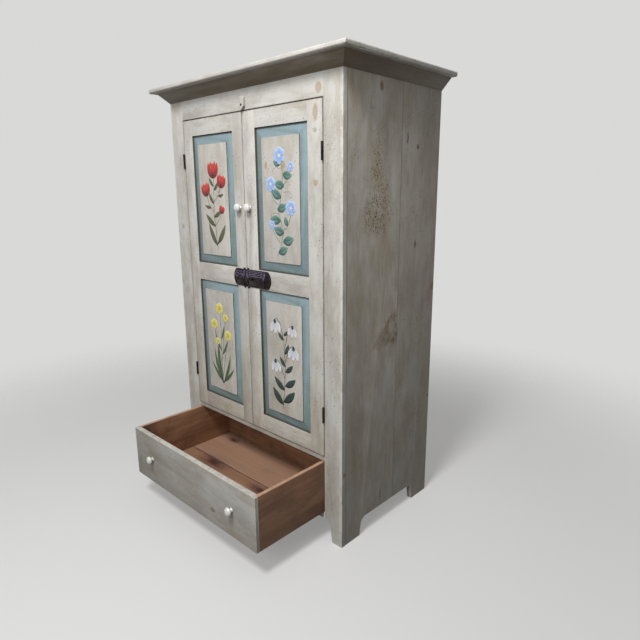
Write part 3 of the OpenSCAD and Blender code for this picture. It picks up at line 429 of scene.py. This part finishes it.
def limewashedPine(name, axis):
    # Limewashed pine: cream paint worn thin over old wood, knots bleeding through, edges pale, worn and with a
    # painted highlight; painted shade under things, in corners and along gaps
    material, tree = newMaterial(name)
    place, moved = boardPlace(tree)
    x, _, z = add(tree, "axes", place)
    upward = add(tree, "axes", add(tree, "facing"))[2]
    age, grimeAndShade, dull, edgeShadeAndDirt = (add(tree, "attribute", attribute_name=label)
                                  for label in ("age", "grimeAndShade", "dull", "edgeShadeAndDirt"))
    colour, dirt = washColour(tree, moved, axis, limewash, age)
    near = nearestSpot(tree, place, faceKnots)
    colour = coats(
        tree, limewash, colour,
        ("streak", grained(tree, moved, axis, 0.5, 110, 0.4, 0.8, least=0.3),
         add(tree, "over", age, 0.95), 0.42),
        ("stain", spotted(tree, place, darkKnots, 1.4, 0.7, 0.85)),
        # Painted shade: the sides darker towards the back and the foot
        ("grimeAndShade", sideShade(tree, place, moved), 0.48),
        ("knot", add(tree, "fade", near, 1.5, 0.8, 0.0, 0.55)),
        ("dark", add(tree, "fade", near, 0.6, 0.3, 0.0, 0.5)),
        ("knotCore", spotted(tree, place, sideCracks, 1.2, 0.6, 0.8)),
        *sideMarks(tree, place),
        ("speck", wormDots(tree, moved)))
    # Film on the dirty boards, dirt and painted shade, and painted shade on the undersides; the drawer greyer, partly
    # painted shade, and darker low and to the left as painted shade; ochre low on the doors
    under = add(tree, "plus", grimeAndShade, add(tree, "fade", upward, -0.2, -0.9, 0.0, 0.4), use_clamp=True)
    # Painted shade: the drawer darker low and to the left
    low = add(tree, "fade", z, drawerTop - 0.03, drawerTop - 0.22, 0.0, 0.55)
    left = add(tree, "fade", x, -0.05, -0.45, 0.0, 0.45)
    foot = add(tree, "fade", z, 0.9, 0.38, 0.0, 0.5)
    colour = coats(
        tree, limewash, colour,
        ("grimeAndShade", under, grained(tree, moved, axis, 0.15, 60, 0.2, 0.7, least=0.75)),
        ("dull", dull),
        ("streak", foot, edgeShadeAndDirt, grained(tree, moved, axis, 0.2, 24, 0.35, 0.7, 5.0, least=0.3)),
        ("grimeAndShade", dull, add(tree, "plus", low, left)))
    # Painted shade in the corners of the frames; edges pale, worn and a painted highlight, or dark on the cornice as
    # painted shade; and the drawer's top edge pale where it faces up, worn and a painted highlight
    wall = product(tree, wallMask(tree, place, *frameWall), edgeShadeAndDirt)
    clean = add(tree, "minus", 1.0, grimeAndShade)
    bare = add(tree, "minus", 0.8, wall, use_clamp=True)
    colour = coats(
        tree, limewash, colour,
        ("gapShade", wall),
        ("worn", wornEdges(tree, moved, 0.005), clean, bare),
        ("gapShade", wornEdges(tree, moved, 0.004), add(tree, "over", grimeAndShade, 0.5), 0.7),
        ("worn", cornerWear(tree, place, moved), 0.85),
        # Painted shade along the gaps round the doors
        ("gapShade", gapShadeLines(tree, place, moved), 0.8),
        ("grimeAndShade", seamDirt(tree, place), 0.55),
        ("worn", add(tree, "fade", upward, *around(0.7, 0.2)),
         blotches(tree, moved, 25, 0.3, 0.6, least=0.15, most=0.6),
         add(tree, "fade", z, *around(drawerTop - 0.003)), add(tree, "over", dull, 0.01)),
        (pineColour(tree, place, moved, axis, oldPine)[0], insideMask(tree, place)))
    return finished(material, colour, 0.56, (dirt, 0.3, 0.0008))

def paintedPanel(name):
    # Raised door panel: cream field, its bevelled border brushed blue-green with painted light and shade on its
    # slopes, painted shade on the field's walls and along the border's foot, the back raw
    material, tree = newMaterial(name)
    place, moved = boardPlace(tree)
    y = add(tree, "axes", place)[1]
    upward = add(tree, "axes", add(tree, "facing"))[2]
    colour, dirt = washColour(tree, moved, "Z", panelPaint, 0.28)
    border = coats(
        tree, panelPaint, "blue",
        ("green", blotches(tree, moved, 60, 0.35, 0.65, 5.0, 0.65)),
        ("pale", grained(tree, moved, "Z", 0.3, 9, 0.5, 0.8, 5.0, 0.7), 0.45),
        ("deep", grained(tree, moved, "Z", 0.2, 26, 0.5, 0.78, 4.0, 0.7), 0.55),
        # Painted light and shade: slopes that face up lighter and bluer, those that face down darker
        ("upper", add(tree, "fade", upward, 0.045, 0.15, 0.0, 0.3)),
        ("lower", add(tree, "fade", upward, -0.045, -0.15, 0.0, 0.3)))
    colour = coats(
        tree, panelPaint, colour,
        ("knot", spotted(tree, place, fieldKnots, 1.2, 0.6, 0.6)),
        ("speck", wormDots(tree, moved)),
        (border, add(tree, "fade", y, *around(faceY + panelDepths["field"]))),
        ("worn", wornEdges(tree, moved, 0.002), 0.4),
        # Painted shade on the walls of the raised field
        ("gapShade", wallMask(tree, place, *panelDepths["wall"]),
         blotches(tree, moved, 30, 0.2, 0.5, least=0.6)),
        # Painted shade along the border's foot, under the frame
        ("gapShade", add(tree, "fade", y, *around(faceY + panelDepths["foot"], 0.0006)), 0.75),
        (pineColour(tree, place, moved, "Z", oldPine)[0],
         add(tree, "fade", y, *around(faceY + panelDepths["back"]))))
    return finished(material, colour, 0.5, (dirt, 0.25, 0.0006))

def iron(name, look, roughness):
    # Blackened iron: near black, browner where the black is thin; the latch's upper half lighter and greyer, a
    # painted reflection
    material, tree = newMaterial(name)
    place = add(tree, "place")
    colour = coats(tree, look, "base", ("thin", blotches(tree, place, 14, 0.4, 0.7, 5.0, 0.65)))
    if "sheenAndWear" in look:
        # Painted reflection: the upper half of the latch lighter
        upper = add(tree, "fade", add(tree, "axes", place)[2], latchZ - 0.006, latchZ + 0.012)
        colour = coats(tree, look, colour, ("sheenAndWear", upper, blotches(tree, place, 9, 0.35, 0.6, least=0.25)))
    pits = add(tree, "noise", place, 420.0, 3.0)
    return finished(material, colour, roughness, (pits, 0.3, 0.0004), **{"Specular IOR Level": 0.18})

def porcelain(name):
    # White glazed porcelain, clouded a little
    material, tree = newMaterial(name)
    colour = coats(tree, glaze, "base", ("cloud", blotches(tree, add(tree, "place"), 17, 0.4, 0.8, 3.0)))
    return finished(material, colour, 0.12, **{"Coat Weight": 0.6, "Coat Roughness": 0.05})

def folkPaint(name):
    # Brushed oil colour of the painted sprays, each stroke with its own colour from the mesh
    material, tree = newMaterial(name)
    tint = add(tree, "attribute", out=0, attribute_name="tint")
    bristle = blotches(tree, add(tree, "place"), 4, 0.45, 0.9, 3.0, most=0.3)
    return finished(material, coats(tree, panelPaint, tint, ("light", bristle)), 0.5)

materials = {
    **{f"limewash{axis}": limewashedPine(f"limewashedPine{axis}", axis) for axis in "XYZ"},
    **{f"bare{axis}": rawPine(f"barePine{axis}", axis, barePine, drawerKnots) for axis in "XY"},
    **{f"old{axis}": rawPine(f"oldPine{axis}", axis, oldPine) for axis in "XYZ"},
    "panel": paintedPanel("blueGreenPaintedPine"),
    "latch": iron("japannedIron", latchIron, 0.32),
    "moulding": iron("mouldingIronWithSheen", mouldingIron, 0.3),
    "hinge": iron("blackenedIron", hingeIron, 0.55),
    "porcelain": porcelain("whitePorcelain"),
    "folk": folkPaint("folkOilPaint"),
}
print("materials made:", len(materials))

# Boards: which way the grain runs, how round the edges are worn in millimetres, how grimy and how grey each is, both
# partly painted shade, how dusty and aged each is, the left stile aged more as painted shade and the frieze less as
# painted light, and how much painted shade and dirt the inner walls of the frames take
boards = {
    "alongX": ("frieze_rail", "drawer_rail", "apron_rail", "top_board", "front_cornice", "cupboard_floor", "shelf",
               "drawer_front", "drawer_back", "drawer_bottom", "top_rail", "middle_rail", "bottom_rail"),
    "alongY": ("left_cornice", "right_cornice", "cleats", "runner", "drawer_stops", "drawer_left_side",
               "drawer_right_side"),
    "edge": {"top_board": 2.5, "stile": 2.2, "side": 2.2, "drawer_front": 2.4, "door": 1.2, "panel": 0.7,
             "turn_button": 2.5, "latch": 1.4, "hinge": 0.3, "screws": 0.3, "cornice": 1.2},
    "grimeAndShade": {"drawer_rail": 0.3, "front_cornice": 0.8, "left_cornice": 0.97, "right_cornice": 0.97},
    "dull": {"drawer_front": 0.4, "drawer_left_side": 0.35, "drawer_right_side": 0.55, "drawer_back": 0.6},
    "pale": {"drawer_bottom": 0.65, "drawer_bottom_front": 0.3},
    "age": {"": 0.52, "side": 1.0, "drawer_front": 0.9, "cornice": 0.8, "top_board": 0.4, "frieze": 0.2,
            "left_stile": 0.75},
    "edgeShadeAndDirt": {"door": 0.85},
}

def lookUp(table, name, otherwise):
    # The value of the last key that the name holds
    return [otherwise, *(value for key, value in table.items() if key in name)][-1]

def materialFor(name):
    # The finish of the node's slot, with the grain along the board
    axis = "Z"
    for letter in "XY":
        if any(key in name for key in boards["along" + letter]):
            axis = letter
    kind = {"cream_paint": "limewash" + axis, "panel_paint": "panel", "bare_pine": "bare" + axis,
            "old_pine": "old" + axis, "hinge_iron": "hinge", "latch_iron": "latch", "porcelain": "porcelain"}
    return materials[kind[slotOf[name]]]

def dress(mesh, material, **numbers):
    # Gives a mesh its material, and the numbers that the wood materials read
    mesh.materials.clear()
    mesh.materials.append(material)
    for label, value in numbers.items():
        layer = mesh.attributes.new(label, "FLOAT", "POINT")
        layer.data.foreach_set("value", np.full(len(mesh.vertices), value, np.float32))
    mesh.polygons.foreach_set("use_smooth", np.ones(len(mesh.polygons), bool))

def addPiece(mesh, body):
    # Puts a mesh in the scene, riding on its body
    piece = bpy.data.objects.new(mesh.name, mesh)
    bpy.context.scene.collection.objects.link(piece)
    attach(piece, body)
    return piece

def wornBoard(name, number):
    # The CAD node's own shape with its sharp edges rounded by use
    mesh = cadNodes[name].data.copy()
    mesh.name = name + ".look"
    build = bmesh.new()
    build.from_mesh(mesh)
    bmesh.ops.remove_doubles(build, verts=build.verts, dist=1e-5)
    bmesh.ops.dissolve_limit(build, angle_limit=math.radians(0.5), verts=build.verts, edges=build.edges)
    build.to_mesh(mesh)
    build.free()
    dress(mesh, materialFor(name), board=number * 0.137,
          **{label: lookUp(boards[label], name, 0.0) for label in ("grimeAndShade", "dull", "age", "edgeShadeAndDirt", "pale")})
    piece = addPiece(mesh, bodyOf[name])
    worn = piece.modifiers.new("wornEdges", "BEVEL")
    worn.width = lookUp(boards["edge"], name, 0.8) / 1000
    worn.segments = 3
    worn.limit_method = "ANGLE"
    worn.angle_limit = math.radians(28)
    worn.harden_normals = True
    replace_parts(piece, name)

knobNames = [n for n in cadNodes if n.endswith("knob")]
for number, name in enumerate(sorted(cadNodes)):
    if name not in knobNames:
        wornBoard(name, number)
print("boards and ironwork worn:", len(cadNodes) - len(knobNames))

def meshOf(name, points, faces, material):
    # A mesh from points and faces, its normals outward
    mesh = bpy.data.meshes.new(name)
    mesh.from_pydata(np.asarray(points, float).tolist(), [], [list(f) for f in faces])
    build = bmesh.new()
    build.from_mesh(mesh)
    bmesh.ops.recalc_face_normals(build, faces=build.faces)
    build.to_mesh(mesh)
    build.free()
    dress(mesh, material)
    return mesh

def gridFaces(rows, cols, wrap):
    # Quads of a grid of points, closed round its columns if wrap is true
    r, c = np.meshgrid(np.arange(rows - 1), np.arange(cols if wrap else cols - 1), indexing="ij")
    r, c = r.ravel(), c.ravel()
    d = (c + 1) % cols
    return np.stack([r * cols + c, r * cols + d, (r + 1) * cols + d, (r + 1) * cols + c], 1).tolist()

def rodFaces(rows, sides):
    # Quads of a grid closed round its columns, and a cap at each end
    return gridFaces(rows, sides, True) + [list(range(sides)), list(range((rows - 1) * sides, rows * sides))]

def smoothLine(points, rounds):
    # Chaikin's rule: each corner becomes the points 1/4 and 3/4 along its two sides
    line = np.asarray(points, float)
    for _ in range(rounds):
        cut = np.empty((2 * len(line) - 2, line.shape[1]))
        cut[0::2] = 0.75 * line[:-1] + 0.25 * line[1:]
        cut[1::2] = 0.25 * line[:-1] + 0.75 * line[1:]
        line = np.vstack([line[:1], cut, line[-1:]])
    return line

# Porcelain knobs: radius and distance from the board, in millimetres
knob = {
    "profile": [(9.4, 0), (9.6, 1.4), (7.8, 3.2), (6.3, 5.2), (6.1, 7.4), (6.6, 9.4), (10.4, 11.2), (15.2, 12.6),
                (16.9, 15.6), (16.8, 19.0), (14.6, 22.8), (10.0, 25.6), (4.6, 26.9), (0.02, 27.0)],
    "sides": 40,
}

def makeKnob(name):
    # The profile turned about the knob's own axis: x = r cos a, z = r sin a
    low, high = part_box(name)
    line = smoothLine([(0.02, 0)] + knob["profile"], 2) / 1000
    turn = np.linspace(0, 2 * math.pi, knob["sides"], endpoint=False)
    grid = np.empty((len(line), len(turn), 3))
    grid[..., 0] = (low.x + high.x) / 2 + line[:, :1] * np.cos(turn)
    grid[..., 1] = high.y - line[:, 1:]
    grid[..., 2] = (low.z + high.z) / 2 + line[:, :1] * np.sin(turn)
    mesh = meshOf(name + ".look", grid.reshape(-1, 3), rodFaces(len(line), len(turn)), materials["porcelain"])
    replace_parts(addPiece(mesh, bodyOf[name]), name)

for name in knobNames:
    makeKnob(name)
print("knobs turned:", len(knobNames))

def tube(points, radius, sides=10):
    # Closed round rod along a line of points: rings square to it, a cap at each end
    points = np.asarray(points, float)
    along = np.gradient(points, axis=0)
    along /= np.linalg.norm(along, axis=1)[:, None]
    side = np.cross(along, (0.0, 1.0, 0.0))
    side /= np.linalg.norm(side, axis=1)[:, None]
    over = np.cross(side, along)
    turn = np.linspace(0, 2 * math.pi, sides, endpoint=False)
    ring = side[:, None] * np.cos(turn)[None, :, None] + over[:, None] * np.sin(turn)[None, :, None]
    size = np.full(len(points), radius)
    size[[0, -1]] *= 0.6
    grid = points[:, None] + ring * size[:, None, None]
    return grid.reshape(-1, 3), rodFaces(len(points), sides)

def joined(parts):
    # One list of points and faces from several
    points, faces, first = [], [], 0
    for p, f in parts:
        points.append(p)
        faces += [[i + first for i in face] for face in f]
        first += len(p)
    return np.vstack(points), faces

# Raised mouldings of the latch, each a line of (x, height above the middle) in millimetres and the rod's radius.
# The roof falls from its ridge, 7 from the middle and 15 deep, to its foot, 34 from it and 3 deep.
latch = {
    "ridge": (7.0, 15.0), "foot": (34.0, 3.0),
    "case": [
        ([(10, 12), (100, 12)], 1.7), ([(6, 18.5), (100, 18.5)], 1.7), ([(2, 25), (100, 25)], 1.7),
        ([(-8, 31), (104, 31)], 1.4), ([(-8, -32), (104, -32)], 1.4),
        ([(-8, 31), (2, 18), (12, 5), (12, -5), (2, -18), (-8, -31)], 2.0),
        ([(-8, 20), (4, 9), (4, -9), (-8, -20)], 1.4),
        ([(104, 32), (104, -32)], 1.6), ([(110, 28), (110, -28)], 2.0), ([(38, -22), (98, -22)], 1.0),
    ],
    "keeper": [
        ([(-27, 33), (-27, -33)], 2.2), ([(-19, 30), (-19, -30)], 1.6),
        ([(-80, 26), (-36, 26)], 1.5), ([(-80, -28), (-36, -28)], 1.5), ([(-78, 19), (-58, 19)], 1.3),
        ([(-80, 30), (-80, -30)], 1.5), ([(-76, 12), (-66, 8), (-60, 0), (-66, -8), (-76, -12)], 1.4),
    ],
    "ring": {"x": -44, "across": 17.5, "radius": 2.0},
}

def onRoof(x, height):
    # Depth of the roof at a height: level inside the ridge, then a straight fall to the foot
    (z0, y0), (z1, y1) = latch["ridge"], latch["foot"]
    share = min(1.0, max(0.0, (abs(height) - z0) / (z1 - z0)))
    return at(x, -(y0 + (y1 - y0) * share), latchZ * 1000 + height)

def rod(line, radius):
    # A rod along the roof, with points close enough together to follow its folds
    line = smoothLine(line, 1) if len(line) > 3 else np.asarray(line, float)
    marks = np.linspace(0, len(line) - 1, 6 * len(line))
    spots = zip(np.interp(marks, range(len(line)), line[:, 0]), np.interp(marks, range(len(line)), line[:, 1]))
    return tube([onRoof(x, height) for x, height in spots], radius / 1000)

def makeLatchMouldings():
    # The rods of each half of the latch as one piece, the keeper's with its ring
    ring = latch["ring"]
    turn = np.linspace(0, 2 * math.pi, 37)
    circle = [(ring["x"] + ring["across"] * math.cos(a), ring["across"] * math.sin(a)) for a in turn]
    for piece in ("case", "keeper"):
        rods = [rod(line, radius) for line, radius in latch[piece]]
        if piece == "keeper":
            rods.append(tube([onRoof(x, height) for x, height in circle], ring["radius"] / 1000))
        points, faces = joined(rods)
        mesh = meshOf(f"{piece}Mouldings.look", points, faces, materials["moulding"])
        addPiece(mesh, bodyOf["latch_" + piece])

makeLatchMouldings()
print("latch moulded")

# Painted sprays: generic folk flowers, one colour to a panel. Places are millimetres from the middle of the
# field's foot; a flower is (x, z, size, turn), a leaf (x, z, length, width, turn), a stem or tendril a line.
sprays = {
    "left_door_upper_panel": {
        "flower": "tulip", "petal": ("#75161a", "#cf3a34"), "heart": "#1f0d0d", "leaf": ("#30361f", "#666b45"),
        "stem": "#59613c",
        "stems": [[(12, 26), (4, 110), (-8, 200), (4, 290), (0, 340)], [(-6, 190), (-40, 222), (-52, 262)],
                  [(-2, 232), (34, 262), (50, 296)], [(0, 130), (34, 158), (46, 186)]],
        "flowers": [(0, 334, 72, 0), (-52, 258, 60, 14), (50, 292, 58, -14), (47, 184, 36, -20)],
        "leaves": [(10, 44, 112, 27, 30), (12, 52, 104, 26, -36), (2, 128, 84, 24, 52), (-6, 168, 62, 20, -62),
                   (-4, 226, 54, 18, 34), (2, 282, 52, 17, -42), (0, 300, 48, 16, 40), (-26, 208, 44, 15, 78),
                   (30, 258, 40, 14, -80)],
    },
    "right_door_upper_panel": {
        "flower": "rosette", "petal": ("#7ba2e6", "#c2d9fb"), "heart": "#ece6cf", "leaf": ("#305953", "#6f978d"),
        "stem": "#6f8a80",
        "stems": [[(-26, 26), (24, 108), (-26, 208), (24, 306), (-2, 398)], [(10, 124), (44, 150), (54, 190)],
                  [(-14, 224), (-46, 244), (-54, 280)], [(16, 300), (46, 320), (54, 348)],
                  [(0, 72), (-34, 104), (-50, 130)]],
        "tendrils": [[(-10, 190), (-44, 196), (-62, 180), (-50, 166), (-40, 178)],
                     [(16, 270), (44, 276), (66, 262), (58, 246), (46, 256)],
                     [(4, 356), (-28, 366), (-46, 352), (-38, 340)]],
        "flowers": [(-4, 406, 32, 0), (54, 212, 29, 20), (-56, 302, 29, -10), (56, 364, 19, 30), (-54, 146, 18, 12)],
        "leaves": [(-18, 40, 56, 34, -66), (10, 84, 60, 38, -74), (14, 118, 58, 36, 72), (-4, 166, 58, 36, 84),
                   (-20, 206, 56, 34, -70), (2, 252, 60, 36, 60), (20, 296, 54, 34, 78), (14, 338, 50, 32, -96),
                   (0, 374, 40, 26, 70), (36, 146, 36, 24, 22)],
    },
    "left_door_lower_panel": {
        "flower": "rosette", "petal": ("#dccb3e", "#f6f094"), "heart": "#cfae2c", "leaf": ("#1d3220", "#55703f"),
        "stem": "#3f5a34",
        "stems": [[(2, 30), (-4, 170), (4, 290), (-2, 384)], [(1, 70), (-22, 190), (-46, 306)],
                  [(3, 70), (28, 180), (50, 262)], [(2, 150), (22, 280), (38, 344)],
                  [(0, 120), (-20, 200), (-26, 226)]],
        "flowers": [(-4, 396, 27, 0), (-48, 318, 25, 16), (52, 276, 25, -8), (40, 358, 19, 24), (-28, 238, 17, 10)],
        "leaves": [(0, 36, 170, 19, 19), (4, 36, 158, 18, -22), (-2, 44, 112, 17, 42), (6, 44, 112, 17, -46),
                   (0, 44, 210, 16, 6), (4, 176, 92, 14, -30), (-2, 196, 96, 14, 26), (2, 250, 70, 12, -18)],
    },
    "right_door_lower_panel": {
        "flower": "bell", "petal": ("#c6cad6", "#fbfbfc"), "heart": "#c9b45a", "leaf": ("#0c1d19", "#274339"),
        "stem": "#35493f",
        "stems": [[(-14, 28), (0, 140), (8, 250), (-6, 360), (-30, 416), (-52, 408)],
                  [(6, 236), (34, 306), (56, 310)], [(0, 160), (-32, 232), (-56, 236)],
                  [(6, 300), (30, 386), (52, 396)]],
        "flowers": [(-54, 408, 62, 4), (56, 310, 62, -4), (-56, 236, 60, 6), (52, 396, 52, -6)],
        "leaves": [(-12, 44, 88, 34, 44), (-8, 56, 88, 34, -48), (-2, 110, 76, 30, 52), (2, 128, 74, 29, -56),
                   (5, 190, 58, 23, -50), (6, 214, 50, 20, 40), (4, 268, 50, 20, -28), (0, 326, 44, 17, 50),
                   (-2, 346, 40, 15, -50)],
    },
}

def stroke(start, end, width, colours, lift, bend=0.0, swell=1.0, rows=11, cols=5):
    # One brush stroke, a thin closed lens. Its middle line is (1-t)^2 a + 2t(1-t) m + t^2 b with m pushed aside
    # by bend, and its half width is width/2 * sin(pi t^swell)^0.75. It stands lift above the field.
    a, b = np.asarray(start, float), np.asarray(end, float)
    side = np.array([-(b - a)[1], (b - a)[0]])
    m = (a + b) / 2 + side * bend
    t = np.linspace(0.0, 1.0, rows)[:, None]
    middle = (1 - t) ** 2 * a + 2 * t * (1 - t) * m + t ** 2 * b
    along = np.gradient(middle, axis=0)
    along /= np.linalg.norm(along, axis=1)[:, None]
    across = np.stack([-along[:, 1], along[:, 0]], 1)
    half = np.maximum(width / 2 * np.sin(math.pi * np.clip(t, 0.03, 0.97) ** swell) ** 0.75, 0.35)
    s = np.linspace(-1.0, 1.0, cols)
    flat = middle[:, None] + across[:, None] * (half * s)[..., None]
    top = np.concatenate([flat, np.broadcast_to(lift + 0.12 * (1 - s ** 2), (rows, cols))[..., None]], 2)
    low = np.concatenate([flat, np.full((rows, cols, 1), -0.25)], 2)
    points = np.vstack([top.reshape(-1, 3), low.reshape(-1, 3)])
    sheet = gridFaces(rows, cols, False)
    count = rows * cols
    grid = np.arange(count).reshape(rows, cols)
    rim = np.concatenate([grid[0], grid[1:, -1], grid[-1, -2::-1], grid[-2:0:-1, 0]]).tolist()
    walls = [[p, q, q + count, p + count] for p, q in zip(rim, rim[1:] + rim[:1])]
    faces = sheet + [[i + count for i in f] for f in sheet] + walls
    mixed = np.clip(t + 0.25 * (np.abs(s)[None, :] - 0.5), 0, 1)[..., None]
    tint = (1 - mixed) * np.array(shade(colours[0])) + mixed * np.array(shade(colours[1]))
    return points, faces, np.vstack([tint.reshape(-1, 4)] * 2)

def turned(x, z, angle):
    # The point (x, z) turned by an angle in degrees, counter-clockwise
    c, s = math.cos(math.radians(angle)), math.sin(math.radians(angle))
    return np.array([x * c - z * s, x * s + z * c])

def flowerStrokes(kind, spray, x, z, size, turn, lift):
    # Tulip: cupped petals on their base, with a few lights. Rosette: six round petals about a heart. Bell: hanging
    # petals under a green cap. Sizes are shares of the flower's own, turns are in degrees.
    here = np.array([x, z], float)
    petal, heart = spray["petal"], (spray["heart"], spray["heart"])
    made = []

    def dabs(angles, first, last, width, colours, bend=0.0, swell=1.0):
        # One dab for each angle, bent to one side and the other in turn
        for i, angle in enumerate(angles):
            ends = [here + turned(0, size * share, turn + angle) for share in (first, last)]
            made.append(stroke(*ends, size * width, colours, lift + 0.04 * len(made), bend * (-1) ** i, swell))

    if kind == "tulip":
        dabs((27, -27), 0, 0.98, 0.44, petal, 0.16, 0.85)
        dabs((13, -13), 0, 0.98, 0.42, petal, 0.06, 0.85)
        dabs((0,), 0, 0.86, 0.46, petal, 0, 0.85)
        dabs((-17, 2, 18), 0.35, 0.82, 0.07, (petal[1], "#e9745f"))
        dabs((0,), 0.04, 0.3, 0.2, heart)
    elif kind == "rosette":
        dabs(range(0, 360, 60), 0.06, 1.0, 0.98, petal, 0.0, 1.3)
        dabs(range(0, 360, 60), 0.15, 0.6, 0.12, (spray["heart"], petal[0]))
        dabs((0,), -0.22, 0.22, 0.44, heart)
    else:
        dabs((-156, -204), 0.14, 1.0, 0.4, petal, 0.14, 1.15)
        dabs((-180,), 0.14, 1.0, 0.44, petal, 0, 1.15)
        dabs((-192, -168), 0.3, 0.8, 0.05, (petal[0], petal[0]))
        dabs((-180,), 0.0, 0.32, 0.28, spray["leaf"])
        dabs((-180,), 0.96, 1.1, 0.08, heart)
    return made

def leafStrokes(spray, x, z, length, width, turn):
    # A leaf in two tones: its whole shape, a light stroke along one half, a fine dark rib
    root, (dark, light) = np.array([x, z], float), spray["leaf"]
    tip, bend = root + turned(0, length, turn), 0.1 * math.copysign(1, turn)
    whole = tip - root
    return [
        stroke(root, tip, width, (dark, light), 0.06, bend, 0.9),
        stroke(root + whole * 0.15, root + whole * 0.9, width * 0.34, (light, light), 0.13, bend * 2.6),
        stroke(root, root + whole * 0.85, width * 0.1, (dark, dark), 0.2, bend, rows=7, cols=3),
    ]

def lineStrokes(line, width, colour):
    # A stem or tendril: short strokes end over end along the smoothed line
    fine = smoothLine(line, 2)
    marks = list(fine[::max(1, len(fine) // 6)]) + [fine[-1]]
    pairs = [(a, b) for a, b in zip(marks[:-1], marks[1:]) if np.linalg.norm(b - a) > 1]
    return [stroke(a - (b - a) * 0.12, b + (b - a) * 0.12, width, (colour, colour), 0.02, rows=5, cols=3)
            for a, b in pairs]

fieldInset = 49.0   # millimetres from the panel's own edge, hidden in its groove, to its raised field

def makeSpray(name, spray):
    # All the strokes of one panel's spray as one piece, laid on its field
    low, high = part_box(name)
    foot = np.array([(low.x + high.x) * 500, low.z * 1000 + fieldInset])
    strokes = []
    for kind, width in (("stems", 3.6), ("tendrils", 1.8)):
        for line in spray.get(kind, []):
            strokes += lineStrokes(line, width, spray["stem"])
    for leaf in spray["leaves"]:
        strokes += leafStrokes(spray, *leaf)
    for flower in spray["flowers"]:
        strokes += flowerStrokes(spray["flower"], spray, *flower, 0.26)
    points, faces = joined([(p, f) for p, f, _ in strokes])
    world = np.empty_like(points)
    world[:, 0] = (points[:, 0] + foot[0]) / 1000
    world[:, 1] = low.y - points[:, 2] / 1000
    world[:, 2] = (points[:, 1] + foot[1]) / 1000
    mesh = meshOf(name.replace("_panel", "_spray") + ".look", world, faces, materials["folk"])
    tint = mesh.attributes.new("tint", "FLOAT_COLOR", "POINT")
    tint.data.foreach_set("color", np.vstack([c for _, _, c in strokes]).astype(np.float32).ravel())
    addPiece(mesh, bodyOf[name])

for name, spray in sprays.items():
    makeSpray(name, spray)
print("sprays painted:", len(sprays))

# Stage: a pale floor that fades into a pale surround, two soft lamps above the camera, a weak fill all round
stage = {
    "floor": "#c4c4c2", "bounce": "#4a4b4e", "glow": 0.36, "surround": "#d9d9d8", "fill": 0.24,
    "fadeFrom": 1.2, "fadeTo": 3.3,
    "lamps": {"key": {"at": (0.92, -2.2, 4.0), "aim": (0.1, -0.1, 1.1), "size": 1.0, "power": 98.0},
              "front": {"at": (1.05, -3.2, 2.4), "aim": (0.2, 0.0, 1.4), "size": 1.6, "power": 32.0}},
}

def addToScene(name, data):
    # A new object that isn't part of the press
    thing = bpy.data.objects.new(name, data)
    bpy.context.scene.collection.objects.link(thing)
    return thing

def seenDirectly(tree):
    # 1 for the camera's own rays, and for what shows in a mirror or through glass
    camera, glossy, through = add(tree, "rays")
    return add(tree, "plus", add(tree, "plus", camera, glossy), through, use_clamp=True)

def makeFloor():
    # Seen by the camera it is pale and glows a little; what it throws back on the press is darker
    mesh = bpy.data.meshes.new("floor")
    mesh.from_pydata([(-9, -9, 0), (9, -9, 0), (9, 9, 0), (-9, 9, 0)], [], [(0, 1, 2, 3)])
    material, tree = newMaterial("paleFloor")
    far = add(tree, "fade", add(tree, "length", add(tree, "place")), stage["fadeFrom"], stage["fadeTo"])
    seen = seenDirectly(tree)
    mesh.materials.append(finished(material, coats(tree, stage, "bounce", ("floor", seen)), 0.9, **{
        "Emission Color": shade(stage["surround"]), "Emission Strength": product(tree, seen, stage["glow"]),
        "Alpha": add(tree, "minus", 1.0, far)}))
    addToScene("floor", mesh)

def makeSurround():
    # A plain pale sky, dimmer as a light than it looks
    world = bpy.data.worlds.new("surround")
    bpy.context.scene.world = world
    world.use_nodes = True
    tree = world.node_tree
    tree.nodes.clear()
    lit, plain = (add(tree, "sky", shade(stage["surround"]), power) for power in (stage["fill"], 1.0))
    add(tree, "worldOut", add(tree, "mixShader", seenDirectly(tree), lit, plain))

def makeLamps():
    # Round lamps, each turned to face its aim
    for name, one in stage["lamps"].items():
        lamp = bpy.data.lights.new(name, "AREA")
        lamp.shape, lamp.size, lamp.energy = "DISK", one["size"], one["power"]
        start, aim = np.array(one["at"]), np.array(one["aim"])
        back = (start - aim) / np.linalg.norm(start - aim)
        side = np.cross((0, 0, 1), back)
        side /= np.linalg.norm(side)
        over = np.cross(back, side)
        rows = [[side[i], over[i], back[i], start[i]] for i in range(3)]
        addToScene(name, lamp).matrix_world = Matrix(rows + [[0, 0, 0, 1]])

makeFloor()
makeSurround()
makeLamps()
print("stage set, lamps:", len(stage["lamps"]))

# Camera: solved from the photo's own perspective
view = {"at": (1749.5, -1402.1, 1393.0), "turn": 43.636, "down": 13.465, "roll": -0.3765, "lens": 29.716}

def makeCamera():
    # Turned about Z, tipped about X, then rolled about its own axis
    camera = bpy.data.cameras.new("photo")
    camera.lens = view["lens"]
    camera.sensor_width = 36.0
    camera.dof.use_dof = False
    holder = addToScene("photo", camera)
    holder.matrix_world = (Matrix.Translation(at(*view["at"])) @ Matrix.Rotation(math.radians(view["turn"]), 4, "Z")
                           @ Matrix.Rotation(math.radians(90 - view["down"]), 4, "X")
                           @ Matrix.Rotation(math.radians(view["roll"]), 4, "Z"))
    bpy.context.scene.camera = holder

makeCamera()
bpy.context.scene.view_settings.view_transform = "Standard"
print("camera set")
